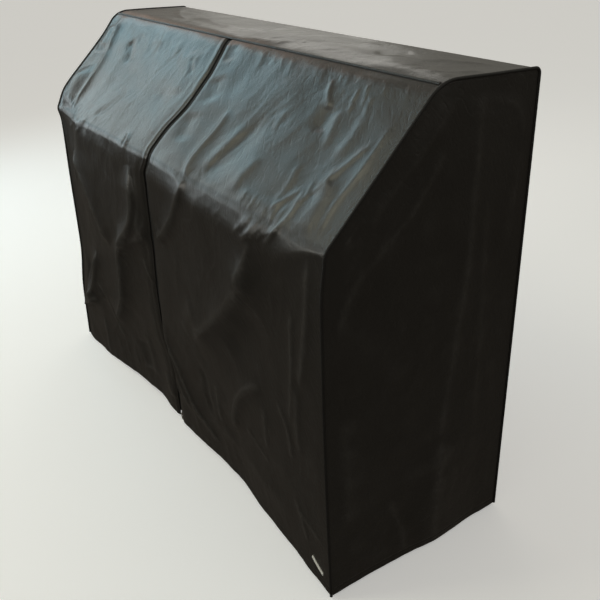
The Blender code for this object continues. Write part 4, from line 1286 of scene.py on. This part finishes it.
materials = {name: clothMaterial(name) for name in finishes}
materials.update({name: plainMaterial(name) for name in plainFinishes})
coatedSides = [materials["coatedCloth"], materials["clothInside"]]
print("finishes made")


# the pieces, each riding on the cover's one body and standing for its part of the frame

def dress(piece, slotName, *nodes):
    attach(piece, "root")
    if nodes:
        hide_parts(*nodes)
    return piece


def hemLine(name, surface, inset):
    line = sewnLine("hemStitches" + name, surface, inset, inset, row=surface["hemRow"])
    return dress(line, "coated_cloth")


def frontAndEnds():
    for side, hand in ((-1, "left"), (1, "right")):
        ending = hand.capitalize()
        surface = frontSurface(side)
        panel = dress(clothSheet("frontPanel" + ending, surface, (0, -1, 0.3), coatedSides),
                      "coated_cloth", "front_panel_" + hand)
        hem = hemLine("FrontPanel" + ending, surface, 0.012)
        byZip = sewnLine("zipStitches" + ending, surface, 0.006, 0.004, column=surface["zipColumn"])
        dress(byZip, "coated_cloth")

        surface = endSurface(side)
        panel = dress(clothSheet("endPanel" + ending, surface, (side, 0, 0), coatedSides),
                      "coated_cloth", "side_panel_" + hand)
        hem = hemLine("EndPanel" + ending, surface, 0.010)
        print("front and end,", hand)


def topAndBack():
    top = dress(clothSheet("topPanel", topSurface(), (0, 0, 1), coatedSides), "coated_cloth", "top_panel")
    surface = backSurface()
    back = dress(clothSheet("backPanel", surface, (0, 1, 0), coatedSides), "coated_cloth", "back_panel")
    hem = hemLine("Back", surface, 0.010)
    print("top and back")


def corded():
    ends = [float(seamPoint(side, 0.0)[0]) - side * 1.6 * cover["cordRadius"] for side in (-1, 1)]
    xs = spread(*ends, 0.0040)
    crest = pipingCord("pipingTopFront", placed(xs, np.broadcast_to(profilePoint(0.0), (len(xs), 2))))
    dress(crest, "piping", "piping_top_front")
    # (end, step) of each run of rows, from the front hem over the crest to the back hem
    runs = [
        (frontHemDown, 0), (rowZones["front"], 0.0050), (rowZones["knee"], 0.0036),
        (rowZones["seam"], 0.0050), (crestBack - 0.03, 0.0036), (backStart + 0.006, 0.0050),
        (backEnd - 0.006, 0.0014), (backHemDown, 0.0060),
    ]
    downs = joinedRows(*(spread(start, end, step) for (start, _), (end, step) in zip(runs, runs[1:])))
    for side, hand in ((-1, "left"), (1, "right")):
        line = pipingCord("piping" + hand.capitalize(), seamPoint(side, downs))
        dress(line, "piping", "piping_side_" + hand)
    print("piping")


def zipAndLabel():
    d = zipDetail
    inner = d["toothOffset"] + 0.0004
    for side, hand in ((-1, "left"), (1, "right")):
        edges = sorted((side * inner, side * (inner + d["tapeWidth"])))
        tape = clothSheet("zipTape" + hand.capitalize(), zipStrip(*edges), (0, -1, 0.3),
                          [materials["zipTape"]] * 2)
        strip = dress(tape, "zip_tape", "zip_tape_" + hand)
    dress(zipTeeth(materials["teeth"]), "zip_teeth", "zip_teeth")
    dress(zipSlider(materials["nickel"]), "zip_metal", "zip_slider")
    dress(zipPull(materials["nickel"]), "zip_metal", "zip_pull")
    surface = labelSurface()
    tag = dress(clothSheet("sideLabel", surface, (0, -1, 0), [materials["wovenLabel"]] * 2),
                "woven_label", "side_label")
    for name, row in (("labelStitchesLow", 2), ("labelStitchesHigh", -3)):
        frames = framesAlong(*lineWith(surface, row=row), label["stitchPitch"], 0.0008, 0.0004)
        thread = spindle(label["stitchLength"], label["stitchWidth"], label["stitchWidth"], 0.0001)
        line = copiesAlong(name, thread, frames, materials["whiteThread"])
        dress(line, "woven_label")
    print("zip and label")


frontAndEnds()
topAndBack()
corded()
zipAndLabel()


# the floor, the light and the camera

studio = {
    "floor": (0.80, 0.80, 0.79), "floorSize": 60.0,
    "backdrop": (0.86, 0.86, 0.85), "sky": (0.33, 0.315, 0.275), "ground": (0.070, 0.060, 0.048),
    "floorLift": 0.42,      # the floor's own light, to keep it pale
}
lampShared = {"aim": (0.0, 0.0, -0.4), "size": (1.3, 0.95)}      # unless a lamp says otherwise
lamps = [
    {"name": "window left, high", "at": (-3.09, -0.43, 1.40), "power": 9.8, "colour": (0.38, 0.82, 1.0)},
    {"name": "window left", "at": (-3.14, -1.14, 0.95), "power": 6.0, "colour": (1.0, 0.98, 0.92)},
    {"name": "window left, low", "at": (-3.28, -1.20, 0.47), "power": 5.6, "colour": (0.50, 0.85, 1.0)},
    {"name": "window sill left", "at": (-3.17, -1.69, -0.15), "power": 7.5, "colour": (0.85, 0.96, 1.0),
     "aim": (0.0, 0.0, -0.5), "size": (1.5, 0.7)},
    {"name": "lamp left", "at": (-3.11, 0.27, 1.40), "power": 4.2, "colour": (1.0, 0.62, 0.46)},
    {"name": "window behind left", "at": (-2.65, 1.86, 1.18), "power": 6.4, "colour": (1.0, 0.98, 0.92),
     "size": (1.3, 1.2)},
    {"name": "soft front, high", "at": (-0.79, -2.17, 2.36), "power": 17.5, "colour": (1.0, 0.99, 0.76),
     "size": (1.3, 1.0)},
    {"name": "soft front, low", "at": (-1.19, -3.28, 0.47), "power": 15.0, "colour": (1.0, 0.99, 0.90),
     "size": (1.3, 1.0)},
]
view = {"azimuth": 56.85, "elevation": 27.258, "roll": -2.158, "at": (1.767, -1.1069, 0.2983), "lens": 45.97}


def buildFloor():
    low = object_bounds()[0]
    half = studio["floorSize"] / 2
    corners = [(-half, -half, 0), (half, -half, 0), (half, half, 0), (-half, half, 0)]
    mesh = bpy.data.meshes.new("studioFloor")
    mesh.from_pydata(corners, [], [(0, 1, 2, 3)])
    floor = bpy.data.objects.new("studioFloor", mesh)
    floor.location.z = low.z - 0.001
    bpy.context.scene.collection.objects.link(floor)
    material, tree, shader = newMaterial("palePaint")
    mottle = shaderNode(tree, "TexNoise", {}, {
        "Vector": shaderNode(tree, "TexCoord").outputs["Object"], "Scale": 1.5, "Detail": 3.0})
    pale = (*studio["floor"], 1)
    paler = (*[min(1.0, value * 1.03) for value in studio["floor"]], 1)
    tree.links.new(mixed(tree, mottle.outputs[0], pale, paler), shader.inputs["Base Color"])
    shader.inputs["Roughness"].default_value = 0.9
    seen = shaderNode(tree, "LightPath").outputs["Is Camera Ray"]
    lift = (*[studio["floorLift"] * value for value in studio["floor"]], 1)
    tree.links.new(mixed(tree, seen, (0, 0, 0, 1), lift), shader.inputs["Emission Color"])
    shader.inputs["Emission Strength"].default_value = 1.0
    mesh.materials.append(material)
    floor.visible_glossy = False      # a gloss cloth keeps its dark front over a pale floor


def buildLight():
    for lamp in ({**lampShared, **own} for own in lamps):
        data = bpy.data.lights.new(lamp["name"], "AREA")
        data.shape, data.energy, data.color = "RECTANGLE", lamp["power"], lamp["colour"]
        data.size, data.size_y = lamp["size"]
        made = bpy.data.objects.new(lamp["name"], data)
        made.location = lamp["at"]
        made.rotation_euler = (Vector(lamp["aim"]) - Vector(lamp["at"])).to_track_quat("-Z", "Y").to_euler()
        bpy.context.scene.collection.objects.link(made)
    world = bpy.data.worlds.new("studio")
    bpy.context.scene.world = world
    world.use_nodes = True
    tree = world.node_tree
    place = shaderNode(tree, "TexCoord").outputs["Generated"]
    parts = shaderNode(tree, "SeparateXYZ", {}, {0: place})
    above = ranged(tree, parts.outputs[2], -0.06, 0.10, 0.0, 1.0)
    room = mixed(tree, above, (*studio["ground"], 1), (*studio["sky"], 1))
    seen = shaderNode(tree, "LightPath").outputs["Is Camera Ray"]
    shown = mixed(tree, seen, room, (*studio["backdrop"], 1))
    background = tree.nodes["Background"]
    tree.links.new(shown, background.inputs["Color"])
    background.inputs["Strength"].default_value = 1.0


def buildCamera():
    azimuth, elevation, roll = (math.radians(view[key]) for key in ("azimuth", "elevation", "roll"))
    back = Vector((math.sin(azimuth) * math.cos(elevation), -math.cos(azimuth) * math.cos(elevation),
                   math.sin(elevation)))
    level = Vector((0, 0, 1)).cross(back).normalized()
    upright = back.cross(level)
    right = level * math.cos(roll) + upright * math.sin(roll)
    up = upright * math.cos(roll) - level * math.sin(roll)
    data = bpy.data.cameras.new("camera")
    data.lens, data.sensor_width = view["lens"], 36.0
    camera = bpy.data.objects.new("camera", data)
    camera.matrix_world = Matrix.Translation(view["at"]) @ Matrix((right, up, back)).transposed().to_4x4()
    bpy.context.scene.collection.objects.link(camera)
    bpy.context.scene.camera = camera


buildFloor()
buildLight()
buildCamera()
bpy.context.scene.view_settings.view_transform = "Standard"
bpy.context.view_layer.update()
print("floor, light and camera")
